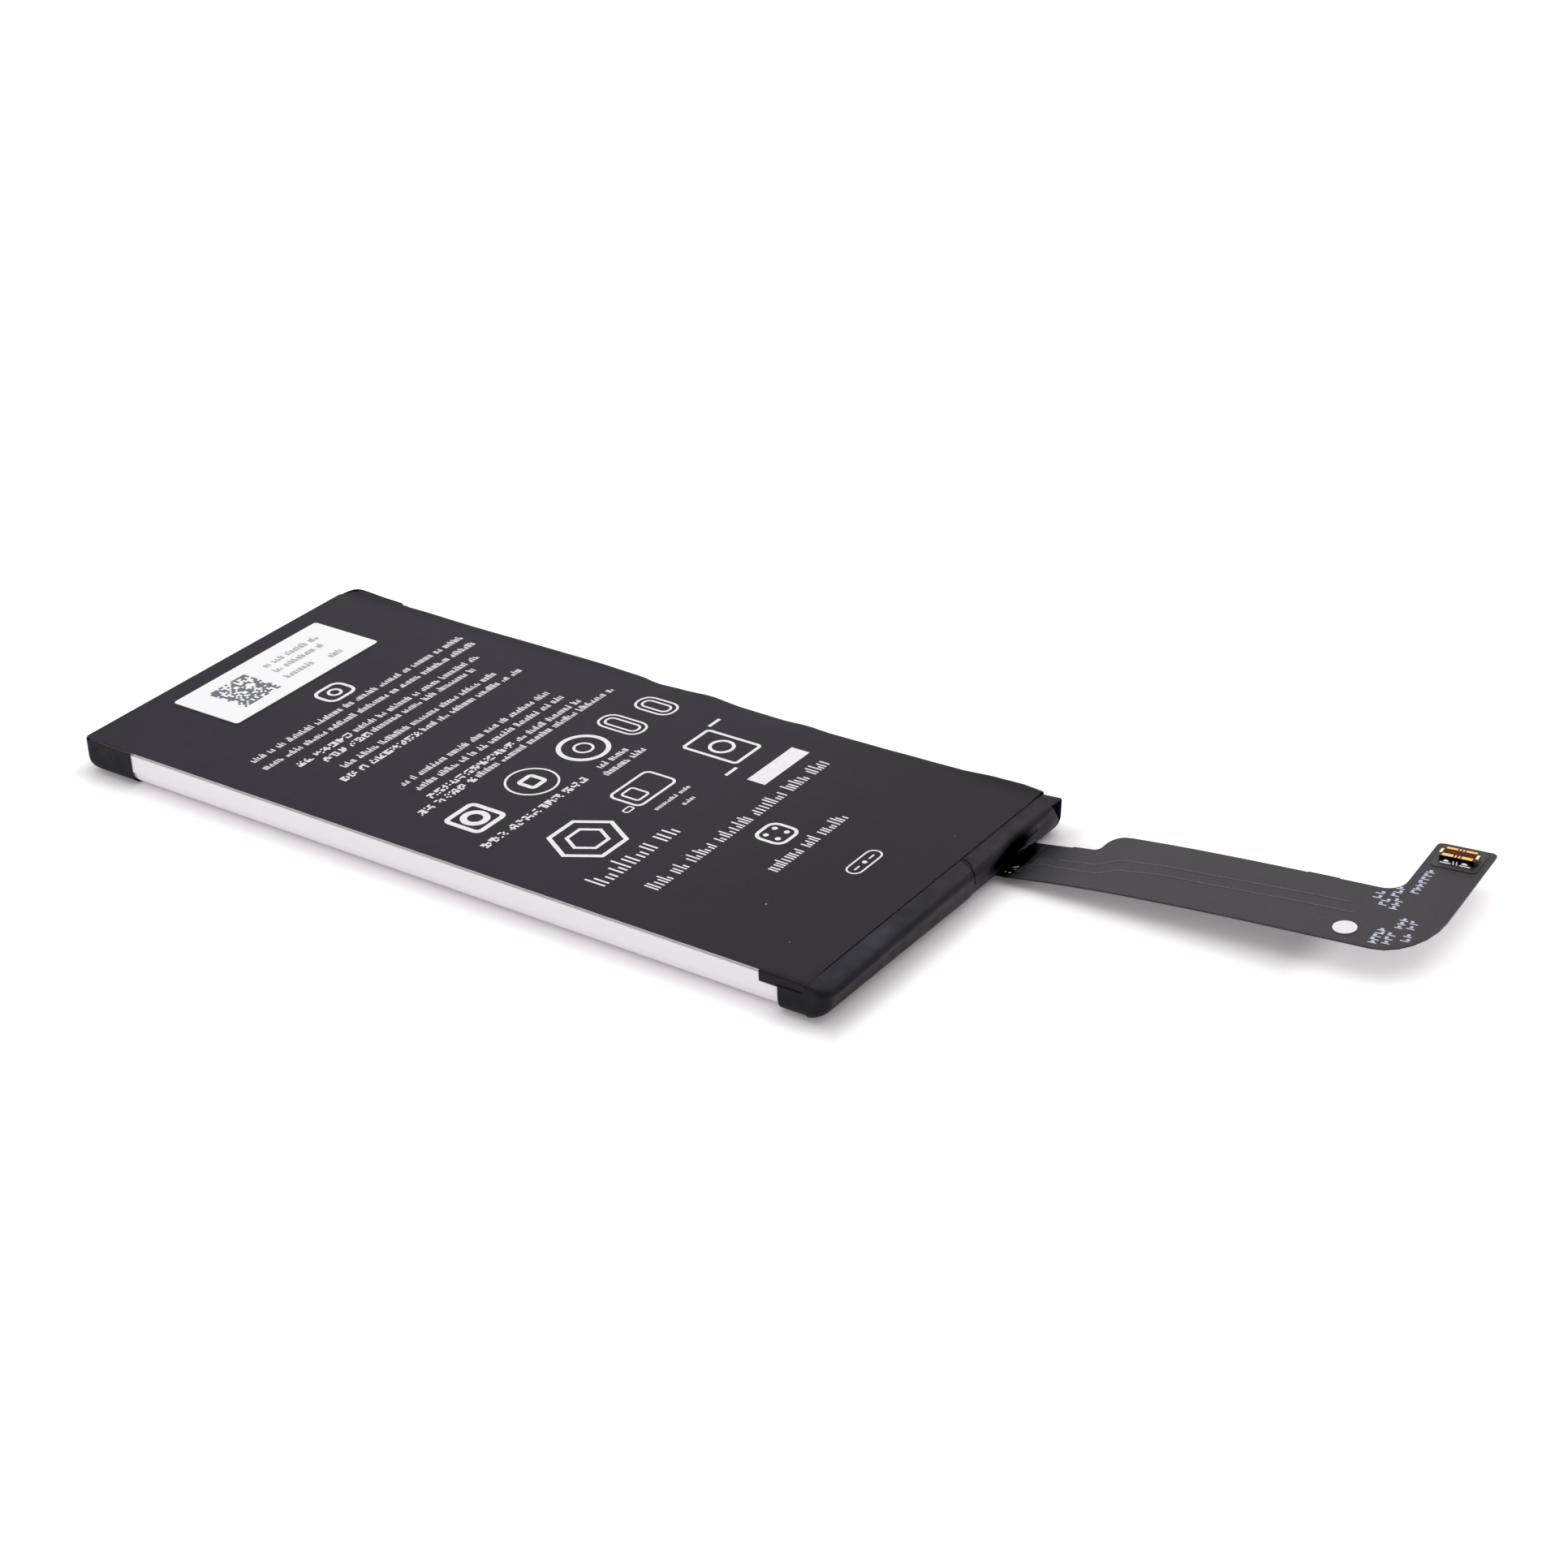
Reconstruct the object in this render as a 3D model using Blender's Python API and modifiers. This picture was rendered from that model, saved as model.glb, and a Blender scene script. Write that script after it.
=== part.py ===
"""Smartphone battery pack: a pouch cell under a black label film, with its protection board
taped into the head end and a flexible printed tail that ends in a board-to-board plug.

Units are metres. +X runs to the head end with the tail, +Y across the pack, +Z out of the
printed face. The origin is the middle of the pack's flat underside.
"""

import math

import bmesh
import bpy
from mathutils import Matrix, Vector

MM = 0.001

# Layers
FILM = 0.08 * MM
TAPE = 0.08 * MM
GLUE = 0.04 * MM
SEAT_GAP = 0.05 * MM
CUT_MARGIN = 2.0 * MM

# Pouch cell
CELL_LENGTH = 93.7 * MM
CELL_WIDTH = 43.5 * MM
CELL_THICKNESS = 3.98 * MM
END_FOOT_RISE = 2.2 * MM
SIDE_FOOT_RISE = 1.45 * MM
FOOT_SIDE_RUN = 1.2 * MM
FOOT_TAIL_RUN = 2.2 * MM
FOOT_HEAD_RUN = 1.0 * MM
NEAR_TOP_RADIUS = 0.25 * MM
FAR_TOP_RADIUS = 0.6 * MM
TAIL_TOP_RADIUS = 0.35 * MM
NEAR_TAIL_CORNER = 0.5 * MM
FAR_TAIL_CORNER = 1.7 * MM
HEAD_CORNER = 1.0 * MM
FLANGE_THICKNESS = 0.22 * MM
TERRACE_THICKNESS = 0.3 * MM
TERRACE_INSET = 1.6 * MM
TAPE_RELIEF = 0.14 * MM
RELIEF_MARGIN = 0.3 * MM

# Head bay, from the cell's end wall to the outside of the tape round the board
BAY_LENGTH = 5.3 * MM
HEAD_STRIP = 3.1 * MM
HEAD_DROP = 0.38 * MM
STRIP_STEP = 0.12 * MM
HEAD_TOP_RADIUS = 0.8 * MM
BAY_FOOT_RUN = 2.0 * MM
HEAD_SIDE_RADIUS = 0.35 * MM
NEAR_HEAD_CORNER = 1.3 * MM
FAR_HEAD_CORNER = 0.35 * MM
SIDE_TAPE_LENGTH = 6.3 * MM
FAR_REACH = 0.1 * MM
OPEN_END_WIDTH = 1.9 * MM
OPEN_END_LOW = 0.8 * MM
OPEN_END_REACH = 5.0 * MM
OPEN_END_EDGE = 0.15 * MM
OPEN_END_FOLDS = 5
HEAD_SKEW = 0.8 * MM
HEAD_LEAN = 1.45 * MM
WRAP_TO_TAIL = 4.1 * MM
WRAP_LENGTH = 3.0 * MM
WRAP_SLANT = 1.5 * MM
WRAP_FOOT = 0.5 * MM
LIP_FROM_TAIL = 1.65 * MM
LIP_LENGTH = 5.8 * MM
LIP_ROOT_Z = 2.62 * MM
LIP_DEPTHS = (0.12 * MM, 0.9 * MM)
LIP_FLARES = (0.1 * MM, 0.45 * MM)

# Label film and tail tape
EAR_LENGTH = 5.4 * MM
EAR_FOLD = 0.12 * MM
EAR_DROP = 1.15 * MM
FILM_TAIL_CUT = 1.2 * MM
TAIL_TAPE_NEAR = 7.0 * MM
TAIL_TAPE_FAR = 8.2 * MM
TAIL_TAPE_FLAP = 4.5 * MM
SIDE_FLAP = 0.8 * MM
FAR_TAPE_TURN = 54.0

# White code sticker, placed from the tail edge and the near edge
STICKER_LENGTH = 23.5 * MM
STICKER_WIDTH = 9.75 * MM
STICKER_THICKNESS = 0.06 * MM
STICKER_CORNER = 0.4 * MM
STICKER_FROM_TAIL = 2.8 * MM
STICKER_FROM_NEAR = 10.95 * MM

# Protection board
BOARD_WIDTH = 2.8 * MM
BOARD_THICKNESS = 0.6 * MM
BOARD_SETBACK = 1.7 * MM
BOARD_FROM_NEAR = 3.6 * MM
BOARD_FROM_FAR = 3.6 * MM
INSULATOR_THICKNESS = 0.35 * MM
INSULATOR_SETBACK = 0.3 * MM
TAB_WIDTH = 4.0 * MM
TAB_THICKNESS = 0.1 * MM
TAB_REACH = 0.55 * MM
TAB_WELD_LENGTH = 1.6 * MM
TAB_SEAL_WIDTH = 5.6 * MM
TAB_SEAL_LENGTH = 0.4 * MM
TAB_SEAL_WALL = 0.1 * MM
WELD_PAD_THICKNESS = 0.25 * MM
WELD_PAD_LENGTH = 3.8 * MM
WELD_PAD_WIDTH = 1.9 * MM
POSITIVE_TAB_SHARE = 0.22
NEGATIVE_TAB_SHARE = 0.74

# Parts on the board: name, share of the board's length, then length, width, height and material
BOARD_PARTS = (
    ("thermal_breaker", 0.08, 3.6 * MM, 2.4 * MM, 0.9 * MM, "bright_metal"),
    ("sense_resistor", 0.35, 2.4 * MM, 1.3 * MM, 0.5 * MM, "chip_black"),
    ("power_switch_1", 0.45, 2.4 * MM, 2.2 * MM, 0.7 * MM, "chip_black"),
    ("power_switch_2", 0.54, 2.4 * MM, 2.2 * MM, 0.7 * MM, "chip_black"),
    ("protection_ic", 0.62, 1.8 * MM, 1.6 * MM, 0.6 * MM, "chip_black"),
    ("capacitor_1", 0.85, 0.6 * MM, 1.0 * MM, 0.5 * MM, "ceramic_tan"),
    ("capacitor_2", 0.89, 0.6 * MM, 1.0 * MM, 0.5 * MM, "ceramic_tan"),
    ("thermistor", 0.93, 0.6 * MM, 1.0 * MM, 0.5 * MM, "chip_black"),
)

# Flexible tail, in its own flat frame: u along the strip, v across it
FLEX_THICKNESS = 0.2 * MM
FLEX_ANGLE = math.radians(4.4)
FLEX_EXIT_FROM_FAR = 12.2 * MM
FLEX_EXIT_SETBACK = 1.1 * MM
FLEX_ROOT = 2.9 * MM
NECK_WIDTH = 7.6 * MM
NECK_STEP_AT = 4.7 * MM
NECK_STEP = 0.2 * MM
SHOULDER_AT = 7.6 * MM
SHOULDER_LEAN = 0.3 * MM
SHOULDER_OUT_RUN = 1.4 * MM
SHOULDER_OUT_RISE = 1.9 * MM
SHOULDER_IN_RISE = 0.8 * MM
SHOULDER_IN_RUN = 0.6 * MM
STRIP_WIDTH = 11.0 * MM
EDGE_TAB_START = 28.8 * MM
EDGE_TAB_LENGTH = 3.6 * MM
EDGE_TAB_DEPTH = 0.16 * MM
ARM_AT = 38.55 * MM
ARM_WIDTH = 6.2 * MM
ARM_END = 21.75 * MM
INNER_FILLET = 2.0 * MM
HEEL_RUN = 5.0 * MM
HEEL_RISE = 7.5 * MM
ARM_CORNER = 0.5 * MM
FLEX_REST_HEIGHT = 0.67 * MM
FLEX_LIFT = 1.7 * MM
FLEX_LIFT_RUN = 11.0 * MM
FLEX_SLOPE = 0.03
EXIT_SOFTNESS = 2.0 * MM
FLEX_FOLD_STEP = 1.5 * MM
FLEX_CLEARANCE = 0.3 * MM
EXIT_TAPE_LENGTH = 1.7 * MM
EXIT_TAPE_WIDTH = 6.2 * MM
EXIT_TAPE_AT = 0.4 * MM
EXIT_TAPE_FROM_EDGE = 0.9 * MM

# Board-to-board plug on the arm
PLUG_LENGTH = 3.8 * MM
PLUG_WIDTH = 1.6 * MM
PLUG_HEIGHT = 0.55 * MM
PLUG_EDGE = 0.06 * MM
PLUG_END_WALL = 0.35 * MM
PLUG_FLOOR = 0.2 * MM
PLUG_WALL = 0.52 * MM
PLUG_FROM_END = 2.6 * MM
CONTACT_THICKNESS = 0.08 * MM
CONTACT_WRAP = 0.25 * MM
CONTACT_FOOT = 0.25 * MM
POWER_CONTACT_WIDTH = 1.15 * MM
POWER_CONTACT_AT = 1.0 * MM
SIGNAL_CONTACT_WIDTH = 0.18 * MM
SIGNAL_CONTACT_AT = 0.18 * MM
HOLD_DOWN_WIDTH = 0.8 * MM
SOLDER_REACH = 0.28 * MM
SOLDER_HEIGHT = 0.14 * MM
STIFFENER_THICKNESS = 0.2 * MM
STIFFENER_MARGIN = 0.4 * MM
STIFFENER_LENGTH = 5.0 * MM
PATCH_THICKNESS = 0.05 * MM
PATCH_LENGTH = 4.8 * MM
PATCH_WIDTH = 4.2 * MM
PATCH_CORNER = 0.5 * MM
DOT_RADIUS = 1.2 * MM
DOT_THICKNESS = 0.08 * MM
DOT_SIDES = 32
DOT_FROM_ARM = 2.3 * MM
DOT_FROM_EDGE = 2.4 * MM

ARC_STEPS = 6
JOINT_GAP = 0.02 * MM
SHEET_END = 20.0 * MM
CHIP_EDGE_SHARE = 0.12
SHARP_ANGLE = math.radians(35)


def flex_height(u):
    """Height of the tail's middle surface above the floor, u along from its exit."""
    s = (u + math.hypot(u, EXIT_SOFTNESS)) / 2
    return FLEX_REST_HEIGHT + FLEX_SLOPE * s + FLEX_LIFT * (1 - math.exp(-s / FLEX_LIFT_RUN))


# Places that follow from the sizes above
LAYER = GLUE + TAPE
UNDER_FILM = GLUE + FILM + GLUE
PACK_LENGTH = LAYER + CELL_LENGTH + BAY_LENGTH
TAIL_X = -PACK_LENGTH / 2
CELL_TAIL_X = TAIL_X + LAYER
CELL_HEAD_X = CELL_TAIL_X + CELL_LENGTH
HEAD_X = CELL_HEAD_X + BAY_LENGTH
SEAM_X = HEAD_X - HEAD_STRIP
HEAD_FLAP = SIDE_TAPE_LENGTH - BAY_FOOT_RUN
TERRACE_X = SEAM_X - SEAT_GAP
NEAR_Y = -CELL_WIDTH / 2
FAR_Y = CELL_WIDTH / 2
FILM_Z = CELL_THICKNESS + GLUE
TOP_Z = FILM_Z + FILM
TERRACE_Z = CELL_THICKNESS - TAIL_TOP_RADIUS - TERRACE_THICKNESS
WALL_Z = TAPE_RELIEF + SIDE_FOOT_RISE
HEAD_KNEE_Z = TOP_Z - STRIP_STEP - TAPE - HEAD_TOP_RADIUS
FLEX_EXIT_FROM_NEAR = CELL_WIDTH - FLEX_EXIT_FROM_FAR
FLEX_ORIGIN = Vector((HEAD_X - FLEX_EXIT_SETBACK, NEAR_Y + FLEX_EXIT_FROM_NEAR, 0))
WRAP_END = FLEX_EXIT_FROM_NEAR - WRAP_TO_TAIL
LIP_START = FLEX_EXIT_FROM_NEAR + LIP_FROM_TAIL
BOARD_Z = flex_height(0.0) + FLEX_THICKNESS / 2 + SEAT_GAP
BOARD_TOP = BOARD_Z + BOARD_THICKNESS
BOARD_X = HEAD_X - BOARD_SETBACK - BOARD_WIDTH / 2
BOARD_LENGTH = CELL_WIDTH - BOARD_FROM_NEAR - BOARD_FROM_FAR
BOARD_NEAR_Y = NEAR_Y + BOARD_FROM_NEAR
FLEX_SKIN = FLEX_THICKNESS / 2 + JOINT_GAP
PACK_CENTRE = Vector((0, 0, CELL_THICKNESS / 2))


def clear_scene():
    for obj in list(bpy.data.objects):
        bpy.data.objects.remove(obj, do_unlink=True)


def new_collection(name, hidden=False):
    collection = bpy.data.collections.new(name)
    bpy.context.scene.collection.children.link(collection)
    collection.hide_render = hidden
    return collection


def material(name, colour, roughness, metallic=0.0):
    made = bpy.data.materials.new(name)
    made.use_nodes = True
    shader = made.node_tree.nodes["Principled BSDF"]
    shader.inputs["Base Color"].default_value = (*colour, 1.0)
    shader.inputs["Roughness"].default_value = roughness
    shader.inputs["Metallic"].default_value = metallic
    made.diffuse_color = (*colour, 1.0)
    return made


def add_object(name, bm, finish, parent=None):
    """Turns the bmesh into a smooth-shaded object of the pack."""
    bmesh.ops.recalc_face_normals(bm, faces=bm.faces)
    mesh = bpy.data.meshes.new(name)
    bm.to_mesh(mesh)
    bm.free()
    mesh.shade_smooth()
    mesh.set_sharp_from_angle(angle=SHARP_ANGLE)
    mesh.materials.append(finish)
    obj = bpy.data.objects.new(name, mesh)
    pack.objects.link(obj)
    obj.parent = parent
    return obj


def add_cutter(name, bm):
    bmesh.ops.recalc_face_normals(bm, faces=bm.faces)
    mesh = bpy.data.meshes.new(name)
    bm.to_mesh(mesh)
    bm.free()
    obj = bpy.data.objects.new(name, mesh)
    cutters.objects.link(obj)
    obj.hide_render = True
    obj.display_type = "WIRE"
    return obj


def combine(obj, other, operation):
    modifier = obj.modifiers.new(f"{operation.title()} {other.name}", "BOOLEAN")
    modifier.operation = operation
    modifier.solver = "EXACT"
    modifier.object = other


def solidify(obj, thickness):
    """Gives a sheet its thickness on its outer side."""
    modifier = obj.modifiers.new("Thickness", "SOLIDIFY")
    modifier.thickness = thickness
    modifier.offset = 1.0
    modifier.use_even_offset = True
    modifier.use_quality_normals = True


def rounded(corners, steps=ARC_STEPS):
    """An outline through (x, y, run in, run out) corners, each eased over its runs by a quarter ellipse."""
    outline = []
    for i, (x, y, run_in, run_out) in enumerate(corners):
        corner = Vector((x, y))
        before = Vector(corners[i - 1][:2])
        after = Vector(corners[(i + 1) % len(corners)][:2])
        if run_in == 0:
            outline.append(corner)
            continue
        start = corner + (before - corner).normalized() * run_in
        end = corner + (after - corner).normalized() * run_out
        for k in range(steps + 1):
            turn = math.pi / 2 * k / steps
            point = start + (corner - start) * math.sin(turn) + (end - corner) * (1 - math.cos(turn))
            outline.append(point)
    return outline


def plate(outline, thickness, z=0.0):
    """A flat piece with this outline, standing on height z."""
    bm = bmesh.new()
    face = bm.faces.new([bm.verts.new((p[0], p[1], z)) for p in outline])
    raised = bmesh.ops.extrude_face_region(bm, geom=[face])["geom"]
    lifted = [item for item in raised if isinstance(item, bmesh.types.BMVert)]
    bmesh.ops.translate(bm, vec=(0, 0, thickness), verts=lifted)
    return bm


def box(centre, size, edge=0.0, segments=2):
    """A box with this centre and size, its edges eased by edge."""
    bm = bmesh.new()
    bmesh.ops.create_cube(bm, size=1.0)
    bmesh.ops.scale(bm, vec=size, verts=bm.verts)
    bmesh.ops.translate(bm, vec=centre, verts=bm.verts)
    if edge:
        bmesh.ops.bevel(bm, geom=bm.edges[:], offset=edge, segments=segments, affect="EDGES", profile=0.5)
    return bm


def span(low, high, edge=0.0):
    """A box between two corners."""
    low, high = Vector(low), Vector(high)
    return box((low + high) / 2, high - low, edge)


def ring(tail, head, near, far, z, corners):
    """A level rounded rectangle; corners are the radii at near tail, near head, far head and far tail."""
    places = ((tail, near), (head, near), (head, far), (tail, far))
    outline = rounded([(x, y, r, r) for (x, y), r in zip(places, corners)])
    return [Vector((p.x, p.y, z)) for p in outline]


def loft(bm, rings):
    """Walls between rings that have the same number of points."""
    loops = [[bm.verts.new(point) for point in points] for points in rings]
    for lower, upper in zip(loops, loops[1:]):
        for i in range(len(lower)):
            bm.faces.new((lower[i - 1], lower[i], upper[i], upper[i - 1]))
    return loops


def quarter(radius_out, radius_up, low_first=True):
    """(inset, height) pairs round a quarter ellipse, from its foot up, or from its wall to its top."""
    pairs = []
    for k in range(ARC_STEPS + 1):
        turn = math.pi / 2 * k / ARC_STEPS
        if low_first:
            pairs.append((radius_out * (1 - math.sin(turn)), radius_up * (1 - math.cos(turn))))
        else:
            pairs.append((radius_out * (1 - math.cos(turn)), radius_up * math.sin(turn)))
    return pairs


def ribbon(path, width, thickness):
    """A strip of even thickness along an (x, z) path, centred on y = 0."""
    path = [Vector(point) for point in path]
    sides = ([], [])
    for i, point in enumerate(path):
        before = path[max(i - 1, 0)]
        after = path[min(i + 1, len(path) - 1)]
        along_in = (point - before).normalized() if i else (after - point).normalized()
        along_out = (after - point).normalized() if i < len(path) - 1 else along_in
        mitre = (along_in + along_out).normalized()
        reach = thickness / 2 / mitre.dot(along_out)
        sides[0].append(point + Vector((-mitre.y, mitre.x)) * reach)
        sides[1].append(point - Vector((-mitre.y, mitre.x)) * reach)
    bm = plate(sides[0] + sides[1][::-1], width)
    stand_up = Matrix(((1, 0, 0, 0), (0, 0, 1, -width / 2), (0, 1, 0, 0), (0, 0, 0, 1)))
    bmesh.ops.transform(bm, matrix=stand_up, verts=bm.verts)
    return bm


def bend(centre, radius, start, end, steps=ARC_STEPS):
    """Points of an arc in the (x, z) plane, between two angles in degrees."""
    points = []
    for k in range(steps + 1):
        turn = math.radians(start + (end - start) * k / steps)
        points.append((centre[0] + radius * math.cos(turn), centre[1] + radius * math.sin(turn)))
    return points


def cup_foot(tail, head, near, far, runs, z_shift, corners):
    """Rings up the drawn cup's rounded foot; runs are its reach at the tail, head and long sides.

    The foot is taller on the end walls than on the long sides, and changes round the corners.
    """
    corner_points = ARC_STEPS + 1
    rings = []
    for inset, rise in quarter(1.0, 1.0):
        level = ring(
            tail + runs[0] * inset,
            head - runs[1] * inset,
            near + runs[2] * inset,
            far - runs[2] * inset,
            TAPE_RELIEF - z_shift,
            corners,
        )
        for i, point in enumerate(level):
            corner, k = divmod(i, corner_points)
            end_share = k / ARC_STEPS if corner % 2 else 1 - k / ARC_STEPS
            point.z += rise * (SIDE_FOOT_RISE + (END_FOOT_RISE - SIDE_FOOT_RISE) * end_share)
        rings.append(level)
    return rings


def make_pouch_cell():
    """The drawn pouch with its side seals folded against its walls and its head seal as a terrace."""
    corners = (NEAR_TAIL_CORNER, HEAD_CORNER, HEAD_CORNER, FAR_TAIL_CORNER)
    near, far = NEAR_Y + FLANGE_THICKNESS, FAR_Y - FLANGE_THICKNESS
    runs = (FOOT_TAIL_RUN, FOOT_HEAD_RUN, FOOT_SIDE_RUN)
    rings = []
    for z, margin in ((0.0, 2 * RELIEF_MARGIN), (TAPE_RELIEF, RELIEF_MARGIN)):
        rings.append(
            ring(
                CELL_TAIL_X + FOOT_TAIL_RUN + TAIL_TAPE_FLAP + margin,
                HEAD_X - LAYER - TAPE - BAY_FOOT_RUN - HEAD_FLAP - margin,
                near + FOOT_SIDE_RUN + SIDE_FLAP + margin,
                far - FOOT_SIDE_RUN - SIDE_FLAP - margin,
                z,
                corners,
            )
        )
    rings += cup_foot(CELL_TAIL_X, CELL_HEAD_X, near, far, runs, 0.0, corners)
    for inset, rise in quarter(1.0, 1.0, low_first=False):
        rings.append(
            ring(
                CELL_TAIL_X + TAIL_TOP_RADIUS * inset,
                CELL_HEAD_X - TAIL_TOP_RADIUS * inset,
                near + NEAR_TOP_RADIUS * inset,
                far - (FAR_TOP_RADIUS - FLANGE_THICKNESS) * inset,
                CELL_THICKNESS - FAR_TOP_RADIUS * (1 - rise),
                corners,
            )
        )
    bm = bmesh.new()
    loops = loft(bm, rings)
    bm.faces.new(loops[0])
    bm.faces.new(loops[-1])
    cell = add_object("pouch_cell", bm, silver_laminate)
    seal_tail = CELL_TAIL_X + FAR_TAIL_CORNER
    seal_head = CELL_HEAD_X - HEAD_CORNER
    lap = FLANGE_THICKNESS
    for name, outer, inner, top in (
        ("near_seal", NEAR_Y, NEAR_Y + 2 * lap, CELL_THICKNESS - NEAR_TOP_RADIUS),
        ("far_seal", FAR_Y, FAR_Y - 2 * lap, CELL_THICKNESS - FAR_TOP_RADIUS),
    ):
        seal = span(
            (seal_tail, min(outer, inner), WALL_Z + SEAT_GAP),
            (seal_head, max(outer, inner), top),
            lap / 3,
        )
        combine(cell, add_cutter(name, seal), "UNION")
    terrace = span(
        (CELL_HEAD_X - CUT_MARGIN, NEAR_Y + TERRACE_INSET, TERRACE_Z),
        (TERRACE_X, FAR_Y - TERRACE_INSET, TERRACE_Z + TERRACE_THICKNESS),
        TERRACE_THICKNESS / 4,
    )
    combine(cell, add_cutter("head_seal", terrace), "UNION")


def sheet(columns, profile, keep=None):
    """A surface of (y, z) profile points swept along x through the columns."""
    bm = bmesh.new()
    grid = [[bm.verts.new((x, y, z)) for y, z in profile] for x in columns]
    for i in range(len(columns) - 1):
        for k in range(len(profile) - 1):
            if keep is None or keep(i, k):
                bm.faces.new((grid[i][k], grid[i + 1][k], grid[i + 1][k + 1], grid[i][k + 1]))
    return bm


def make_label_film():
    """The printed film: flat on top, wrapped down the far side, its ear folded down at the near head end."""
    ear_drop = [(NEAR_Y - GLUE, FILM_Z - EAR_DROP), (NEAR_Y - GLUE, FILM_Z - EAR_FOLD)]
    reach = FAR_TOP_RADIUS + GLUE
    wrap = bend((FAR_Y - FAR_TOP_RADIUS, CELL_THICKNESS - FAR_TOP_RADIUS), reach, 90, 0)
    profile = ear_drop + [(NEAR_Y - GLUE + EAR_FOLD, FILM_Z)] + wrap + [(FAR_Y + GLUE, WALL_Z)]
    ear_folds = len(ear_drop)
    columns = [TAIL_X, TAIL_X + FAR_TAIL_CORNER, SEAM_X - EAR_LENGTH, SEAM_X - SEAT_GAP]

    def keep(i, k):
        if k < ear_folds:
            return columns[i] >= SEAM_X - EAR_LENGTH
        return i > 0 or k == ear_folds

    bm = sheet(columns, profile, keep)
    for vert in [v for v in bm.verts if not v.link_faces]:
        bm.verts.remove(vert)
    corner = max(bm.verts, key=lambda v: v.co.y - v.co.x)
    bmesh.ops.bevel(bm, geom=[corner], offset=FILM_TAIL_CUT, segments=1, affect="VERTICES", profile=0.5)
    near_corner = min(bm.verts, key=lambda v: v.co.y + v.co.x)
    bmesh.ops.bevel(
        bm, geom=[near_corner], offset=NEAR_TAIL_CORNER, segments=3, affect="VERTICES", profile=0.5
    )
    film = add_object("label_film", bm, label_black)
    face_outwards(film)
    solidify(film, FILM)


def face_outwards(obj):
    """Turns a sheet's faces so that its top looks up."""
    top = max(obj.data.polygons, key=lambda face: face.area)
    if top.normal.z < 0:
        obj.data.flip_normals()


def trim(bm, low=None, high=None, drop=None):
    """Cuts a sheet at x = low and x = high and deletes what is beyond, then the faces that drop picks."""
    for x, keeps_above in ((low, True), (high, False)):
        if x is not None:
            bmesh.ops.bisect_plane(
                bm,
                geom=bm.verts[:] + bm.edges[:] + bm.faces[:],
                plane_co=(x, 0, 0),
                plane_no=(1, 0, 0),
                clear_inner=keeps_above,
                clear_outer=not keeps_above,
            )
    if drop:
        gone = [face for face in bm.faces if drop(face.calc_center_median())]
        bmesh.ops.delete(bm, geom=gone, context="FACES")


def score(bm, place, normal):
    """Adds an edge line where a plane crosses the sheet."""
    geom = bm.verts[:] + bm.edges[:] + bm.faces[:]
    bmesh.ops.bisect_plane(bm, geom=geom, plane_co=place, plane_no=normal)


def make_tail_tape():
    """Tape round the tail end, down the walls and folded under, outside the film at the far side."""
    near, far = NEAR_Y - GLUE, FAR_Y + UNDER_FILM
    tail, head = CELL_TAIL_X - GLUE, CELL_TAIL_X + SHEET_END
    corners = (NEAR_TAIL_CORNER + GLUE, HEAD_CORNER, HEAD_CORNER, FAR_TAIL_CORNER + GLUE)
    runs = (FOOT_TAIL_RUN, 0.0, FOOT_SIDE_RUN + FLANGE_THICKNESS)
    under = (tail + runs[0] + TAIL_TAPE_FLAP, head, near + runs[2] + SIDE_FLAP, far - runs[2] - SIDE_FLAP)
    rings = [ring(*under, TAPE_RELIEF - GLUE, corners)]
    rings += cup_foot(tail, head, near, far, runs, GLUE, corners)
    reach = FAR_TOP_RADIUS + UNDER_FILM
    for inset, rise in bend((0.0, 0.0), 1.0, 0, FAR_TAPE_TURN, ARC_STEPS // 2):
        z = CELL_THICKNESS - FAR_TOP_RADIUS + reach * rise
        rings.append(ring(tail, head, near, far - reach * (1 - inset), z, corners))
    bm = bmesh.new()
    loft(bm, rings)
    trim(bm, high=TAIL_X + TAIL_TAPE_FAR)
    score(bm, (TAIL_X + TAIL_TAPE_NEAR, 0, 0), (1, 0, 0))
    trim(bm, drop=lambda c: c.y < 0 and c.x > TAIL_X + TAIL_TAPE_NEAR)
    tape = add_object("tail_tape", bm, tape_black)
    face_away(tape)
    solidify(tape, TAPE)


def face_away(obj):
    """Turns a wrapped sheet's faces so that they look away from the middle of the pack."""
    outward = sum(face.normal.dot(face.center - PACK_CENTRE) * face.area for face in obj.data.polygons)
    if outward < 0:
        obj.data.flip_normals()


def ease(share):
    """A share kept between 0 and 1, with soft ends."""
    share = min(1.0, max(0.0, share))
    return share * share * (3 - 2 * share)


def setback(x, y, z):
    """How far the head face draws back here: its top towards the far side, its foot towards the near side."""
    across = (y - NEAR_Y) / CELL_WIDTH
    skew = HEAD_SKEW * across * max(0.0, x - SEAM_X) / HEAD_STRIP
    in_bay = ease((x - CELL_HEAD_X) / (SEAM_X - CELL_HEAD_X))
    return skew + HEAD_LEAN * (1 - across) * (1 - z / TOP_Z) * in_bay


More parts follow.
